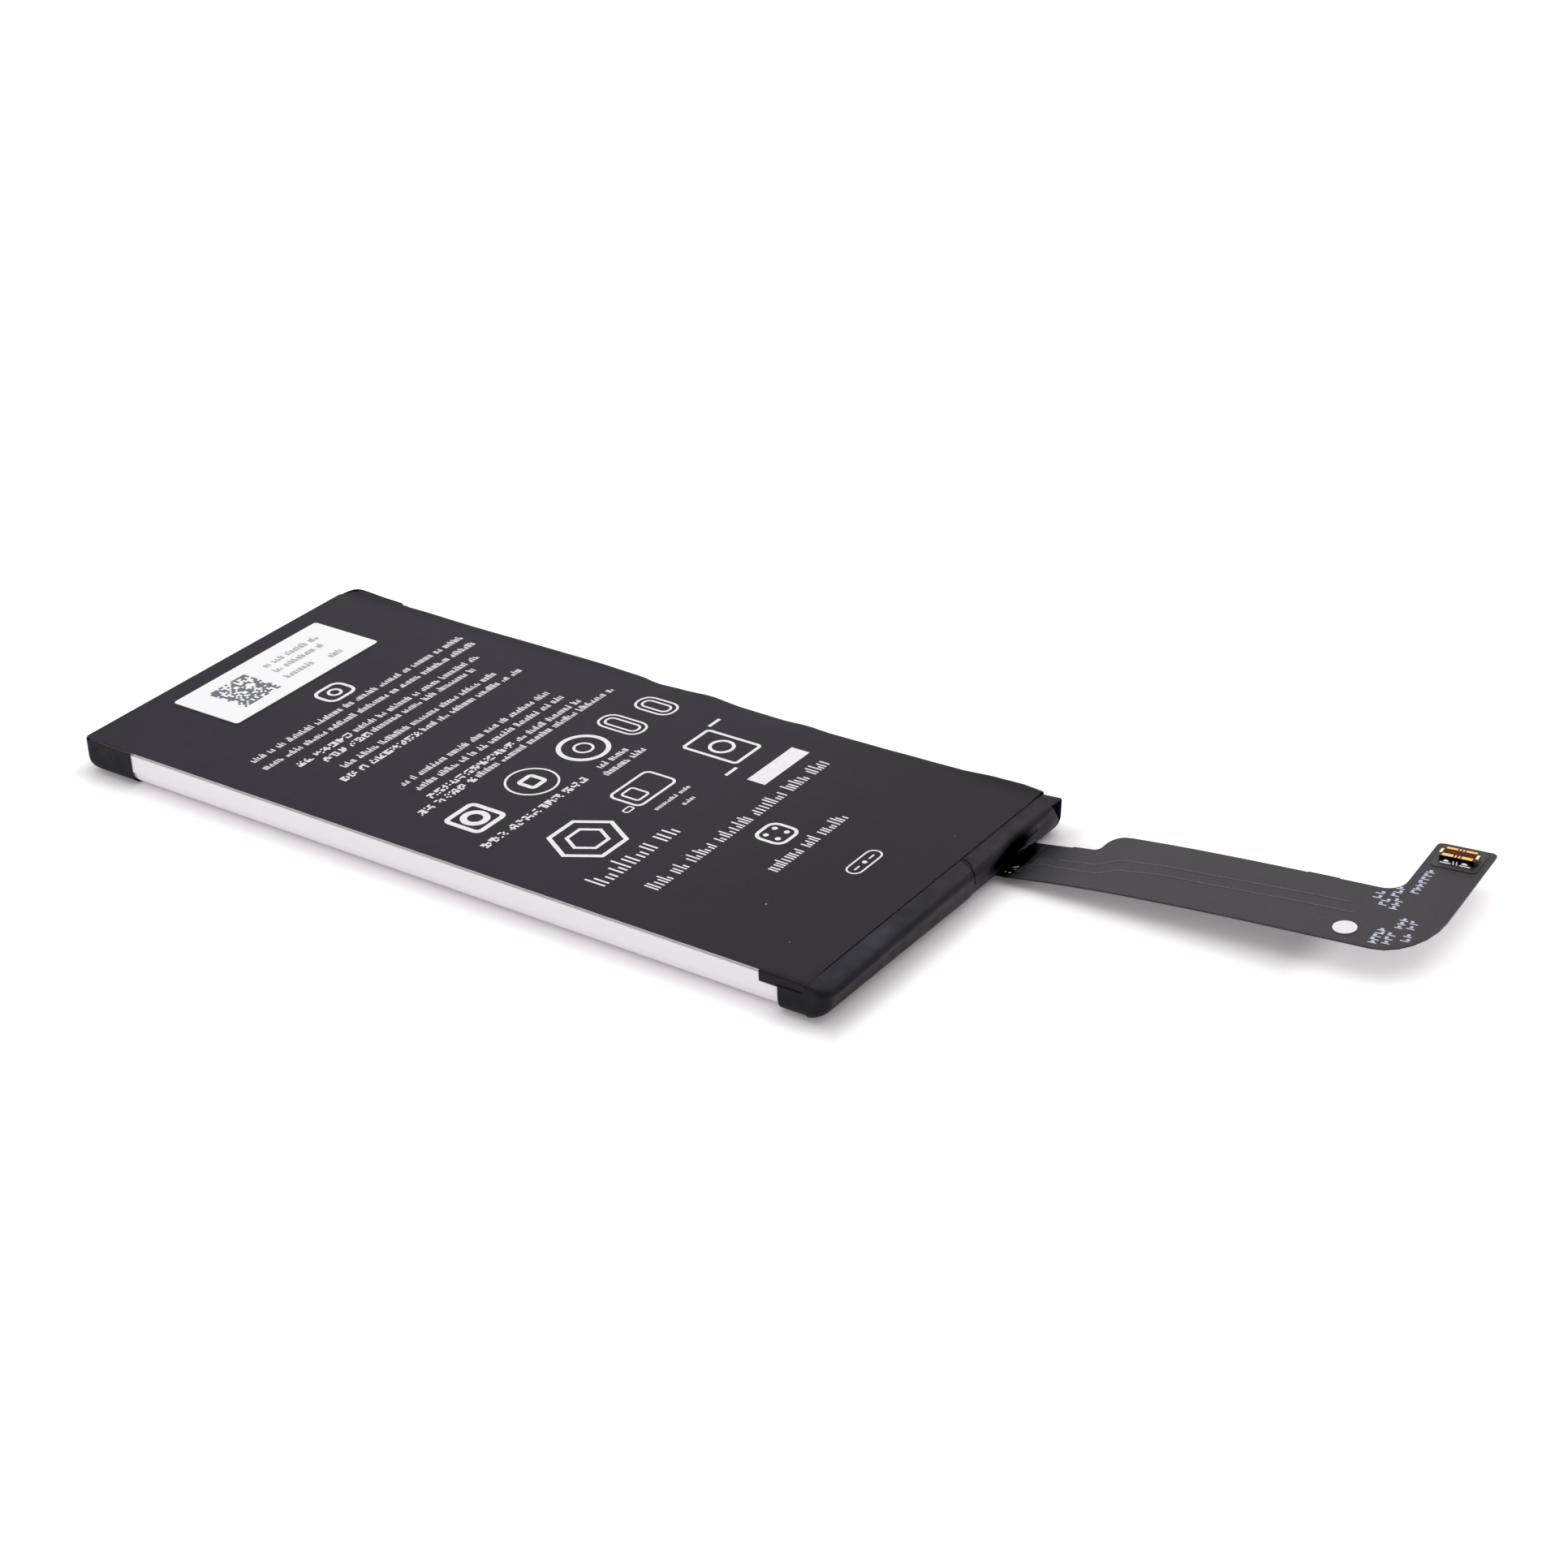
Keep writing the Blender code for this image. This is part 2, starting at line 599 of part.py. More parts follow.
def head_sheet(grow, near, far):
    """The tape's inner surface round the head bay, grown outwards, as an open-topped loft with its cap.

    Towards the open far end the rounded edge of the strip tightens to a crease and stops dropping.
    """
    tail, head = CELL_HEAD_X - SHEET_END, HEAD_X - LAYER - TAPE + grow
    near, far = near - grow, far + grow
    corners = (HEAD_CORNER, NEAR_HEAD_CORNER + grow, FAR_HEAD_CORNER + grow, HEAD_CORNER)
    runs = (0.0, BAY_FOOT_RUN, FOOT_SIDE_RUN + FLANGE_THICKNESS)
    knee = HEAD_KNEE_Z + grow
    flap_end = head - runs[1] - HEAD_FLAP - HEAD_CORNER
    under = (tail, flap_end, near + runs[2] + SIDE_FLAP, far - runs[2] - SIDE_FLAP)
    rings = [ring(*under, TAPE_RELIEF - GLUE - grow, corners)]
    rings += cup_foot(tail, head, near, far, runs, GLUE + grow, corners)
    for inset, rise in quarter(1.0, 1.0, low_first=False):
        z = knee + HEAD_TOP_RADIUS * rise
        side = HEAD_SIDE_RADIUS * inset
        rings.append(ring(tail, head - HEAD_TOP_RADIUS * inset, near + side, far - side, z, corners))
    bm = bmesh.new()
    loops = loft(bm, rings)
    bm.faces.new(loops[-1])
    score(bm, (SEAM_X, 0, 0), (1, 0, 0))
    for k in range(OPEN_END_FOLDS):
        score(bm, (0, far - OPEN_END_REACH * (1 - k / OPEN_END_FOLDS), 0), (0, 1, 0))
    top = knee + HEAD_TOP_RADIUS
    for vert in bm.verts:
        x, y, z = vert.co
        rise = max(0.0, z - knee) / HEAD_TOP_RADIUS
        openness = ease(1 - (far - y) / OPEN_END_REACH)
        if x > SEAM_X + SEAT_GAP and z > knee - JOINT_GAP:
            tighten = 1 - openness * (1 - OPEN_END_EDGE / HEAD_TOP_RADIUS)
            x = head - (head - x) * tighten
            z = top - (top - z) * tighten
            if far - y < HEAD_SIDE_RADIUS + JOINT_GAP:
                y = far - (far - y) * tighten
        along = max(0.0, x - SEAM_X) / HEAD_STRIP
        drop = rise * along * (HEAD_DROP - STRIP_STEP) * (1 - openness)
        vert.co = (x - setback(x, y, z), y, z - drop)
    return bm


def on_tail(u, v, z):
    """Matrix that puts a flat piece on the tail's frame."""
    turn = Matrix.Rotation(FLEX_ANGLE, 4, "Z")
    return Matrix.Translation(FLEX_ORIGIN) @ turn @ Matrix.Translation((u, v, z))


def make_head_tape():
    """Tape that closes the bay: strip, head face and flap under, with a panel on the near side."""
    near, far = NEAR_Y - UNDER_FILM, FAR_Y + FAR_REACH
    bm = head_sheet(0.0, near, far)
    trim(bm, low=HEAD_X - SIDE_TAPE_LENGTH)
    foot = FOOT_SIDE_RUN + FLANGE_THICKNESS

    def drop(c):
        if c.x > SEAM_X:
            return False
        on_top = c.z > HEAD_KNEE_Z
        far_wall = c.y > far - foot and c.z > TAPE_RELIEF - GLUE / 2
        return on_top or far_wall

    trim(bm, drop=drop)
    tape = add_object("head_tape", bm, tape_black)
    face_away(tape)
    solidify(tape, TAPE)
    slot = span(
        (-CUT_MARGIN, -FLEX_CLEARANCE, -FLEX_THICKNESS / 2 - FLEX_CLEARANCE),
        (CUT_MARGIN, NECK_WIDTH + FLEX_CLEARANCE, FLEX_THICKNESS / 2 + FLEX_CLEARANCE),
    )
    bmesh.ops.transform(slot, matrix=on_tail(0, 0, flex_height(0)), verts=slot.verts)
    combine(tape, add_cutter("tail_slot", slot), "DIFFERENCE")
    underside = HEAD_KNEE_Z + HEAD_TOP_RADIUS - JOINT_GAP
    wall = far - JOINT_GAP
    outline = [(far - OPEN_END_WIDTH, underside), (wall, underside), (wall, OPEN_END_LOW)]
    open_end = plate(outline, 2 * CUT_MARGIN)
    start = HEAD_X - HEAD_SKEW - LAYER - TAPE - HEAD_SIDE_RADIUS
    stand_up = Matrix(((0, 0, 1, start), (1, 0, 0, 0), (0, 1, 0, 0), (0, 0, 0, 1)))
    bmesh.ops.transform(open_end, matrix=stand_up, verts=open_end.verts)
    combine(tape, add_cutter("open_tape_end", open_end), "DIFFERENCE")


def make_slot_lip():
    """The tape above the tail's slot, which stands off the head face as a lip that widens to the far side."""
    bm = bmesh.new()
    bmesh.ops.create_grid(bm, x_segments=2 * ARC_STEPS, y_segments=ARC_STEPS, size=0.5)
    for vert in bm.verts:
        along, down = vert.co.x + 0.5, 0.5 - vert.co.y
        depth = LIP_DEPTHS[0] + (LIP_DEPTHS[1] - LIP_DEPTHS[0]) * along
        flare = LIP_FLARES[0] + (LIP_FLARES[1] - LIP_FLARES[0]) * along
        y = NEAR_Y + LIP_START + LIP_LENGTH * along
        z = LIP_ROOT_Z - depth * down
        face = HEAD_X - LAYER
        vert.co = (face - setback(face, y, z) + SEAT_GAP + flare * down * down, y, z)
    lip = add_object("slot_lip", bm, tape_black)
    face_away(lip)
    solidify(lip, TAPE)


def make_head_wrap():
    """A second turn of the tape over the strip and the head face, ending part of the way across."""
    near, far = NEAR_Y - UNDER_FILM, FAR_Y + FAR_REACH
    bm = head_sheet(LAYER, near, far)
    trim(bm, low=HEAD_X - WRAP_LENGTH)
    end = NEAR_Y + WRAP_END
    score(bm, (0, end, 0), (0, 1, 0))
    score(bm, (0, 0, WRAP_FOOT), (0, 0, 1))
    trim(bm, drop=lambda c: c.y > end or c.z < WRAP_FOOT)
    for vert in bm.verts:
        x, y, z = vert.co
        if abs(y - end) < JOINT_GAP:
            slanted = end - WRAP_SLANT * (x - SEAM_X) / HEAD_STRIP
            vert.co = (x + setback(x, end, z) - setback(x, slanted, z), slanted, z)
    wrap = add_object("head_wrap", bm, tape_black)
    face_away(wrap)
    solidify(wrap, TAPE)


def make_code_sticker():
    tail = TAIL_X + STICKER_FROM_TAIL
    near = NEAR_Y + STICKER_FROM_NEAR
    corners = [
        (tail, near),
        (tail + STICKER_WIDTH, near),
        (tail + STICKER_WIDTH, near + STICKER_LENGTH),
        (tail, near + STICKER_LENGTH),
    ]
    outline = rounded([(x, y, STICKER_CORNER, STICKER_CORNER) for x, y in corners], 3)
    add_object("code_sticker", plate(outline, STICKER_THICKNESS, TOP_Z + GLUE), sticker_white)


def make_tab(sign, share):
    """One cell tab: out of the head seal, round a U and back onto its pad, with its sealing film and pad."""
    y = BOARD_NEAR_Y + share * BOARD_LENGTH
    pad_top = BOARD_TOP + JOINT_GAP + WELD_PAD_THICKNESS
    upper = TERRACE_Z + TERRACE_THICKNESS / 2
    lower = pad_top + JOINT_GAP + TAB_THICKNESS / 2
    radius = (upper - lower) / 2
    start = TERRACE_X + SEAT_GAP
    turn_x = start + TAB_SEAL_LENGTH + TAB_REACH
    path = [(start, upper)] + bend((turn_x, (upper + lower) / 2), radius, 90, -90, 2 * ARC_STEPS)
    path.append((turn_x - TAB_WELD_LENGTH, lower))
    tab = add_object(f"{sign}_tab", ribbon(path, TAB_WIDTH, TAB_THICKNESS), tab_metal)
    tab.location.y = y
    half_seal = TAB_THICKNESS / 2 + JOINT_GAP + TAB_SEAL_WALL
    seal = span(
        (start + JOINT_GAP, -TAB_SEAL_WIDTH / 2, upper - half_seal),
        (start + TAB_SEAL_LENGTH, TAB_SEAL_WIDTH / 2, upper + half_seal),
    )
    sleeve = add_object(f"{sign}_tab_seal", seal, tab_film)
    sleeve.location.y = y
    way = span(
        (start - CUT_MARGIN, -TAB_WIDTH / 2 - JOINT_GAP, upper - TAB_THICKNESS / 2 - JOINT_GAP),
        (start + CUT_MARGIN, TAB_WIDTH / 2 + JOINT_GAP, upper + TAB_THICKNESS / 2 + JOINT_GAP),
    )
    cutter = add_cutter(f"{sign}_tab_way", way)
    cutter.location.y = y
    combine(sleeve, cutter, "DIFFERENCE")
    centre = (turn_x - TAB_WELD_LENGTH / 2, y, BOARD_TOP + JOINT_GAP + WELD_PAD_THICKNESS / 2)
    size = (WELD_PAD_WIDTH, WELD_PAD_LENGTH, WELD_PAD_THICKNESS)
    add_object(f"{sign}_weld_pad", box(centre, size, WELD_PAD_THICKNESS / 5), tab_metal)


def make_board():
    centre = (BOARD_X, BOARD_NEAR_Y + BOARD_LENGTH / 2, BOARD_Z + BOARD_THICKNESS / 2)
    size = (BOARD_WIDTH, BOARD_LENGTH, BOARD_THICKNESS)
    add_object("protection_board", box(centre, size, BOARD_THICKNESS / 10), board_green)
    top = TERRACE_Z - SEAT_GAP
    foam = span(
        (CELL_HEAD_X + INSULATOR_SETBACK, BOARD_NEAR_Y, top - INSULATOR_THICKNESS),
        (TERRACE_X, BOARD_NEAR_Y + BOARD_LENGTH, top),
        INSULATOR_THICKNESS / 10,
    )
    add_object("board_insulator", foam, tab_film)
    for name, share, length, width, height, finish in BOARD_PARTS:
        place = (BOARD_X, BOARD_NEAR_Y + share * BOARD_LENGTH, BOARD_TOP + JOINT_GAP + height / 2)
        body = box(place, (width, length, height), height * CHIP_EDGE_SHARE)
        add_object(name, body, bpy.data.materials[finish])
    make_tab("positive", POSITIVE_TAB_SHARE)
    make_tab("negative", NEGATIVE_TAB_SHARE)


def make_flex_tail():
    """The printed tail: root under the board, neck, shoulder, long strip and the arm with the plug."""
    arm_head = ARM_AT + ARM_WIDTH
    tab_end = EDGE_TAB_START + EDGE_TAB_LENGTH
    outline = rounded(
        [
            (-FLEX_ROOT, 0, 0, 0),
            (arm_head, 0, HEEL_RUN, HEEL_RISE),
            (arm_head, ARM_END, ARM_CORNER, ARM_CORNER),
            (ARM_AT, ARM_END, ARM_CORNER, ARM_CORNER),
            (ARM_AT, STRIP_WIDTH, INNER_FILLET, INNER_FILLET),
            (tab_end, STRIP_WIDTH, 0, 0),
            (tab_end - EDGE_TAB_DEPTH, STRIP_WIDTH + EDGE_TAB_DEPTH, 0, 0),
            (EDGE_TAB_START + EDGE_TAB_DEPTH, STRIP_WIDTH + EDGE_TAB_DEPTH, 0, 0),
            (EDGE_TAB_START, STRIP_WIDTH, 0, 0),
            (SHOULDER_AT + SHOULDER_LEAN, STRIP_WIDTH, SHOULDER_OUT_RUN, SHOULDER_OUT_RISE),
            (SHOULDER_AT, NECK_WIDTH, SHOULDER_IN_RISE, SHOULDER_IN_RUN),
            (NECK_STEP_AT + NECK_STEP, NECK_WIDTH, 0, 0),
            (NECK_STEP_AT, NECK_WIDTH - NECK_STEP, 0, 0),
            (-FLEX_ROOT, NECK_WIDTH - NECK_STEP, 0, 0),
        ]
    )
    bm = plate(outline, FLEX_THICKNESS, -FLEX_THICKNESS / 2)
    u = FLEX_FOLD_STEP / 2
    while u < arm_head:
        score(bm, (u, 0, 0), (1, 0, 0))
        u += FLEX_FOLD_STEP
    for vert in bm.verts:
        vert.co.z += flex_height(vert.co.x)
    bmesh.ops.transform(bm, matrix=on_tail(0, 0, 0), verts=bm.verts)
    add_object("flex_tail", bm, flex_black)


def seat_on_arm(name, u, v, side=1.0):
    """An empty on the tail's skin, its z along the skin's normal; side -1 is the underside."""
    step = FLEX_FOLD_STEP
    slope = math.atan2(flex_height(u + step) - flex_height(u - step), 2 * step)
    seat = bpy.data.objects.new(name, None)
    seat.empty_display_size = PLUG_WIDTH
    pack.objects.link(seat)
    tilt = Matrix.Rotation(-slope, 4, "Y")
    seat.matrix_world = on_tail(u, v, flex_height(u)) @ tilt @ Matrix.Translation((0, 0, side * FLEX_SKIN))
    return seat


def make_plug():
    """The board-to-board plug: housing, contacts bent over its walls, solder at their feet and its seat."""
    arm_middle = ARM_AT + ARM_WIDTH / 2
    seat = seat_on_arm("plug_seat", arm_middle, ARM_END - PLUG_FROM_END)
    patch_corners = [
        (sx * PATCH_LENGTH / 2, sy * PATCH_WIDTH / 2, PATCH_CORNER, PATCH_CORNER)
        for sx, sy in ((-1, -1), (1, -1), (1, 1), (-1, 1))
    ]
    add_object("plug_patch", plate(rounded(patch_corners), PATCH_THICKNESS), patch_black, seat)
    floor = PATCH_THICKNESS + JOINT_GAP
    centre = (0, 0, floor + PLUG_HEIGHT / 2)
    housing = add_object(
        "plug_housing", box(centre, (PLUG_LENGTH, PLUG_WIDTH, PLUG_HEIGHT), PLUG_EDGE), plug_black, seat
    )
    pocket = span(
        (-PLUG_LENGTH / 2 + PLUG_END_WALL, -PLUG_WIDTH / 2 + PLUG_WALL, floor + PLUG_FLOOR),
        (PLUG_LENGTH / 2 - PLUG_END_WALL, PLUG_WIDTH / 2 - PLUG_WALL, floor + PLUG_HEIGHT + CUT_MARGIN),
    )
    cutter = add_cutter("plug_pocket", pocket)
    cutter.parent = seat
    combine(housing, cutter, "DIFFERENCE")
    half = CONTACT_THICKNESS / 2 + JOINT_GAP
    outer, inner = PLUG_WIDTH / 2 + half, PLUG_WIDTH / 2 - PLUG_WALL - half
    crown = floor + PLUG_HEIGHT + half
    foot = floor + CONTACT_THICKNESS / 2
    path = [
        (outer + CONTACT_FOOT, foot),
        (outer, foot),
        (outer, crown),
        (inner, crown),
        (inner, floor + PLUG_FLOOR + CONTACT_WRAP),
    ]
    kinds = (
        ("power", POWER_CONTACT_WIDTH, POWER_CONTACT_AT),
        ("signal", SIGNAL_CONTACT_WIDTH, SIGNAL_CONTACT_AT),
    )
    for kind, width, offset in kinds:
        number = 0
        for row in (-1, 1):
            for side in (-1, 1):
                number += 1
                strip = ribbon(path, width, CONTACT_THICKNESS)
                contact = add_object(f"{kind}_contact_{number}", strip, gold, seat)
                contact.location.x = side * offset
                contact.rotation_euler.z = row * math.pi / 2
                start = outer + CONTACT_FOOT + JOINT_GAP
                joint = span(
                    (start, -width / 2, floor),
                    (start + SOLDER_REACH, width / 2, floor + SOLDER_HEIGHT),
                    SOLDER_HEIGHT / 4,
                )
                solder_joint = add_object(f"{kind}_solder_{number}", joint, solder, seat)
                solder_joint.location.x = side * offset
                solder_joint.rotation_euler.z = row * math.pi / 2
    end = PLUG_LENGTH / 2
    clip = [
        (end + half, floor + CONTACT_THICKNESS / 2),
        (end + half, crown),
        (end - PLUG_END_WALL / 2, crown),
    ]
    for number, turn in ((1, math.pi), (2, 0.0)):
        hold = add_object(
            f"plug_hold_down_{number}", ribbon(clip, HOLD_DOWN_WIDTH, CONTACT_THICKNESS), bright_metal, seat
        )
        hold.rotation_euler.z = turn
    under = seat_on_arm("stiffener_seat", arm_middle, ARM_END - PLUG_FROM_END, -1.0)
    depth = STIFFENER_THICKNESS + JOINT_GAP
    width = ARM_WIDTH - 2 * STIFFENER_MARGIN
    stiffener = box(
        (0, 0, JOINT_GAP - depth - STIFFENER_THICKNESS / 2),
        (width, STIFFENER_LENGTH, STIFFENER_THICKNESS),
        STIFFENER_THICKNESS / 5,
    )
    add_object("plug_stiffener", stiffener, patch_black, under)


def make_tail_marks():
    """The white dot by the arm and the lip of tape over the tail's exit."""
    dot_seat = seat_on_arm("dot_seat", ARM_AT - DOT_FROM_ARM, DOT_FROM_EDGE)
    bm = bmesh.new()
    bmesh.ops.create_cone(
        bm, cap_ends=True, segments=DOT_SIDES, radius1=DOT_RADIUS, radius2=DOT_RADIUS, depth=DOT_THICKNESS
    )
    dot = add_object("index_dot", bm, sticker_white, dot_seat)
    dot.location.z = DOT_THICKNESS / 2
    lip_seat = seat_on_arm("lip_seat", EXIT_TAPE_AT + EXIT_TAPE_LENGTH / 2, EXIT_TAPE_FROM_EDGE)
    lip = box((0, EXIT_TAPE_WIDTH / 2, TAPE / 2), (EXIT_TAPE_LENGTH, EXIT_TAPE_WIDTH, TAPE))
    add_object("exit_tape", lip, tape_black, lip_seat)


clear_scene()
pack = new_collection("phone_battery")
cutters = new_collection("cutters", hidden=True)
silver_laminate = material("silver_laminate", (0.80, 0.78, 0.81), 0.42, 0.6)
label_black = material("label_black", (0.055, 0.045, 0.055), 0.62)
tape_black = material("tape_black", (0.02, 0.018, 0.022), 0.45)
sticker_white = material("sticker_white", (0.86, 0.87, 0.88), 0.55)
board_green = material("board_green", (0.02, 0.13, 0.07), 0.45)
tab_film = material("tab_film", (0.62, 0.60, 0.52), 0.6)
tab_metal = material("tab_metal", (0.70, 0.69, 0.66), 0.35, 1.0)
bright_metal = material("bright_metal", (0.75, 0.75, 0.76), 0.3, 1.0)
chip_black = material("chip_black", (0.03, 0.03, 0.035), 0.5)
ceramic_tan = material("ceramic_tan", (0.45, 0.32, 0.20), 0.55)
flex_black = material("flex_black", (0.075, 0.065, 0.07), 0.5)
patch_black = material("patch_black", (0.03, 0.028, 0.032), 0.55)
plug_black = material("plug_black", (0.02, 0.02, 0.022), 0.4)
gold = material("gold", (0.80, 0.52, 0.20), 0.3, 1.0)
solder = material("solder", (0.62, 0.62, 0.64), 0.35, 1.0)

make_pouch_cell()
make_label_film()
make_tail_tape()
make_head_tape()
make_head_wrap()
make_slot_lip()
make_code_sticker()
make_board()
make_flex_tail()
make_plug()
make_tail_marks()
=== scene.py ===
# %% [markdown]
# # A phone battery on a white table
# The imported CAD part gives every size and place. This script dresses it: film, foil, tape,
# printed tail, plug, print and light. Everything is placed in the frame of the part: +X to the
# end with the tail, +Y across the pack, +Z up. Blender counts in metres, and the tables below
# are in millimetres.

import math
import random

import bmesh
import bpy
from mathutils import Matrix, Vector, noise


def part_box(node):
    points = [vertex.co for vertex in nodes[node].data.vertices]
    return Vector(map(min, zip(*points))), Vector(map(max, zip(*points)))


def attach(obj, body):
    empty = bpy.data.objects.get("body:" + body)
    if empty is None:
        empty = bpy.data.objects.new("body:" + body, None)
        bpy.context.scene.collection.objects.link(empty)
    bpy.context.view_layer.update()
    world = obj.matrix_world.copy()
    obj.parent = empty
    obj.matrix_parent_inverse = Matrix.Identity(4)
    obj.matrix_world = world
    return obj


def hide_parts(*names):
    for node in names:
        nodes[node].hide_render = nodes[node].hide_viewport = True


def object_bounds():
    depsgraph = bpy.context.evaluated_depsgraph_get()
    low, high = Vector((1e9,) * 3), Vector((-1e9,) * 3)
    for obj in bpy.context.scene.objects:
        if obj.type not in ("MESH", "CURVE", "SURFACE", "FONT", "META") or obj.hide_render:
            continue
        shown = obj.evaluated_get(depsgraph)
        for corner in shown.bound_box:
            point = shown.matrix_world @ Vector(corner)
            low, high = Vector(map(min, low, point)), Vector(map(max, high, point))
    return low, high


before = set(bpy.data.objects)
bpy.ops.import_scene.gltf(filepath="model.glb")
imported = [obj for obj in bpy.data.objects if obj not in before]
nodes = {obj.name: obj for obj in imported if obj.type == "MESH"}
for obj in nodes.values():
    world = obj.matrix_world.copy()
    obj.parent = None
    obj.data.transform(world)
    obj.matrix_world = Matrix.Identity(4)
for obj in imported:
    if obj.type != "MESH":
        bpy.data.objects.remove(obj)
cad_low, cad_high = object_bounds()
MM = 0.001
print("CAD box in mm", [round(v * 1000, 2) for v in (*cad_low, *cad_high)])

# %% [markdown]
# The dressing could repeat the part's sizes as numbers, but then it would come loose when a size
# changes. So it takes its main places from the box of the film, whose top carries the print.

# %% Places read from the part
film_low, film_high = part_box("label_film")
near_y = film_low.y
far_y = film_high.y
top_z = film_high.z
seam_x = film_high.x
print("film top at", round(top_z / MM, 3), "mm, head seam at", round(seam_x / MM, 3), "mm")

# %% [markdown]
# ## Materials
# Every finish starts from one Principled shader. A flat colour would look like a toy, and a
# picture would fix the finish to one object, so small helpers add what real surfaces have: a
# fine relief, and a slow change of tone or gloss. All patterns read Object coordinates, which
# are metres here, so a grain of 0.1 mm is a noise scale of ten thousand.


# %% A plain finish
def finish(name, colour, roughness, metallic=0.0, specular=0.5):
    made = bpy.data.materials.new(name)
    made.use_nodes = True
    shader = made.node_tree.nodes["Principled BSDF"]
    shader.inputs["Base Color"].default_value = (*colour, 1.0)
    shader.inputs["Roughness"].default_value = roughness
    shader.inputs["Metallic"].default_value = metallic
    shader.inputs["Specular IOR Level"].default_value = specular
    return made


# %% Noise, and what it can drive
def noise_of(made, grain, detail=3.0, stretch=(1.0, 1.0, 1.0)):
    """A noise whose lumps are about one grain wide, longer where stretch is above one."""
    tree = made.node_tree
    place = tree.nodes.new("ShaderNodeTexCoord")
    mapping = tree.nodes.new("ShaderNodeMapping")
    texture = tree.nodes.new("ShaderNodeTexNoise")
    mapping.inputs["Scale"].default_value = [1 / s for s in stretch]
    texture.inputs["Scale"].default_value = 1 / grain
    texture.inputs["Detail"].default_value = detail
    tree.links.new(place.outputs["Object"], mapping.inputs["Vector"])
    tree.links.new(mapping.outputs["Vector"], texture.inputs["Vector"])
    return texture.outputs["Fac"]


def add_relief(made, source, height, strength=1.0):
    """Bumps the surface; a second call rides on the first."""
    tree = made.node_tree
    shader = tree.nodes["Principled BSDF"]
    bump = tree.nodes.new("ShaderNodeBump")
    bump.inputs["Distance"].default_value = height
    bump.inputs["Strength"].default_value = strength
    tree.links.new(source, bump.inputs["Height"])
    if shader.inputs["Normal"].is_linked:
        tree.links.new(shader.inputs["Normal"].links[0].from_socket, bump.inputs["Normal"])
    tree.links.new(bump.outputs["Normal"], shader.inputs["Normal"])


def spread_tone(made, source, low, high, begin=0.3, end=0.7):
    """Colours the surface between two tones, by a source that runs from 0 to 1."""
    tree = made.node_tree
    ramp = tree.nodes.new("ShaderNodeValToRGB")
    ramp.color_ramp.elements[0].position = begin
    ramp.color_ramp.elements[0].color = (*low, 1.0)
    ramp.color_ramp.elements[1].position = end
    ramp.color_ramp.elements[1].color = (*high, 1.0)
    tree.links.new(source, ramp.inputs["Fac"])
    tree.links.new(ramp.outputs["Color"], tree.nodes["Principled BSDF"].inputs["Base Color"])


def spread_gloss(made, source, low, high):
    """Roughens the surface between two levels, by a noise."""
    tree = made.node_tree
    spread = tree.nodes.new("ShaderNodeMapRange")
    spread.inputs["From Min"].default_value = 0.3
    spread.inputs["From Max"].default_value = 0.7
    spread.inputs["To Min"].default_value = low
    spread.inputs["To Max"].default_value = high
    tree.links.new(source, spread.inputs["Value"])
    tree.links.new(spread.outputs["Result"], tree.nodes["Principled BSDF"].inputs["Roughness"])


# %% [markdown]
# These helpers paint light and shade into the colour of black film and tape: darker towards a fold,
# darker in a slot that swallows the light, lighter where a sheen falls. A lamp could do that from one
# side only. They work along an axis or round a place, so that the painted light and shade hold in every
# view.


# %% Tone by place
def along(made, axis, start, end):
    """A value that runs from 0 to 1 between two places, in millimetres, on one axis."""
    tree = made.node_tree
    place = tree.nodes.new("ShaderNodeTexCoord")
    split = tree.nodes.new("ShaderNodeSeparateXYZ")
    share = tree.nodes.new("ShaderNodeMapRange")
    share.interpolation_type = "SMOOTHSTEP"
    share.inputs["From Min"].default_value = start * MM
    share.inputs["From Max"].default_value = end * MM
    tree.links.new(place.outputs["Object"], split.inputs["Vector"])
    tree.links.new(split.outputs[axis], share.inputs["Value"])
    return share.outputs["Result"]


def round_place(made, place, radii, tilt=0.0):
    """A value that runs from 0 outside an ellipsoid, in millimetres, to 1 in its heart."""
    tree = made.node_tree
    spot = tree.nodes.new("ShaderNodeTexCoord")
    mapping = tree.nodes.new("ShaderNodeMapping")
    mapping.vector_type = "TEXTURE"
    mapping.inputs["Location"].default_value = [v * MM for v in place]
    mapping.inputs["Rotation"].default_value = (math.radians(tilt), 0, 0)
    mapping.inputs["Scale"].default_value = [v * MM for v in radii]
    ball = tree.nodes.new("ShaderNodeTexGradient")
    ball.gradient_type = "SPHERICAL"
    share = tree.nodes.new("ShaderNodeMapRange")
    share.interpolation_type = "SMOOTHSTEP"
    share.inputs["From Max"].default_value = 0.5
    tree.links.new(spot.outputs["Object"], mapping.inputs["Vector"])
    tree.links.new(mapping.outputs["Vector"], ball.inputs["Vector"])
    tree.links.new(ball.outputs["Fac"], share.inputs["Value"])
    return share.outputs["Result"]


# A Mix node keeps sockets for every type. These are its colour and its number ones.
COLOUR_A = 6
COLOUR_B = 7
COLOUR_OUT = 2
NUMBER_A = 2
NUMBER_B = 3
NUMBER_OUT = 0


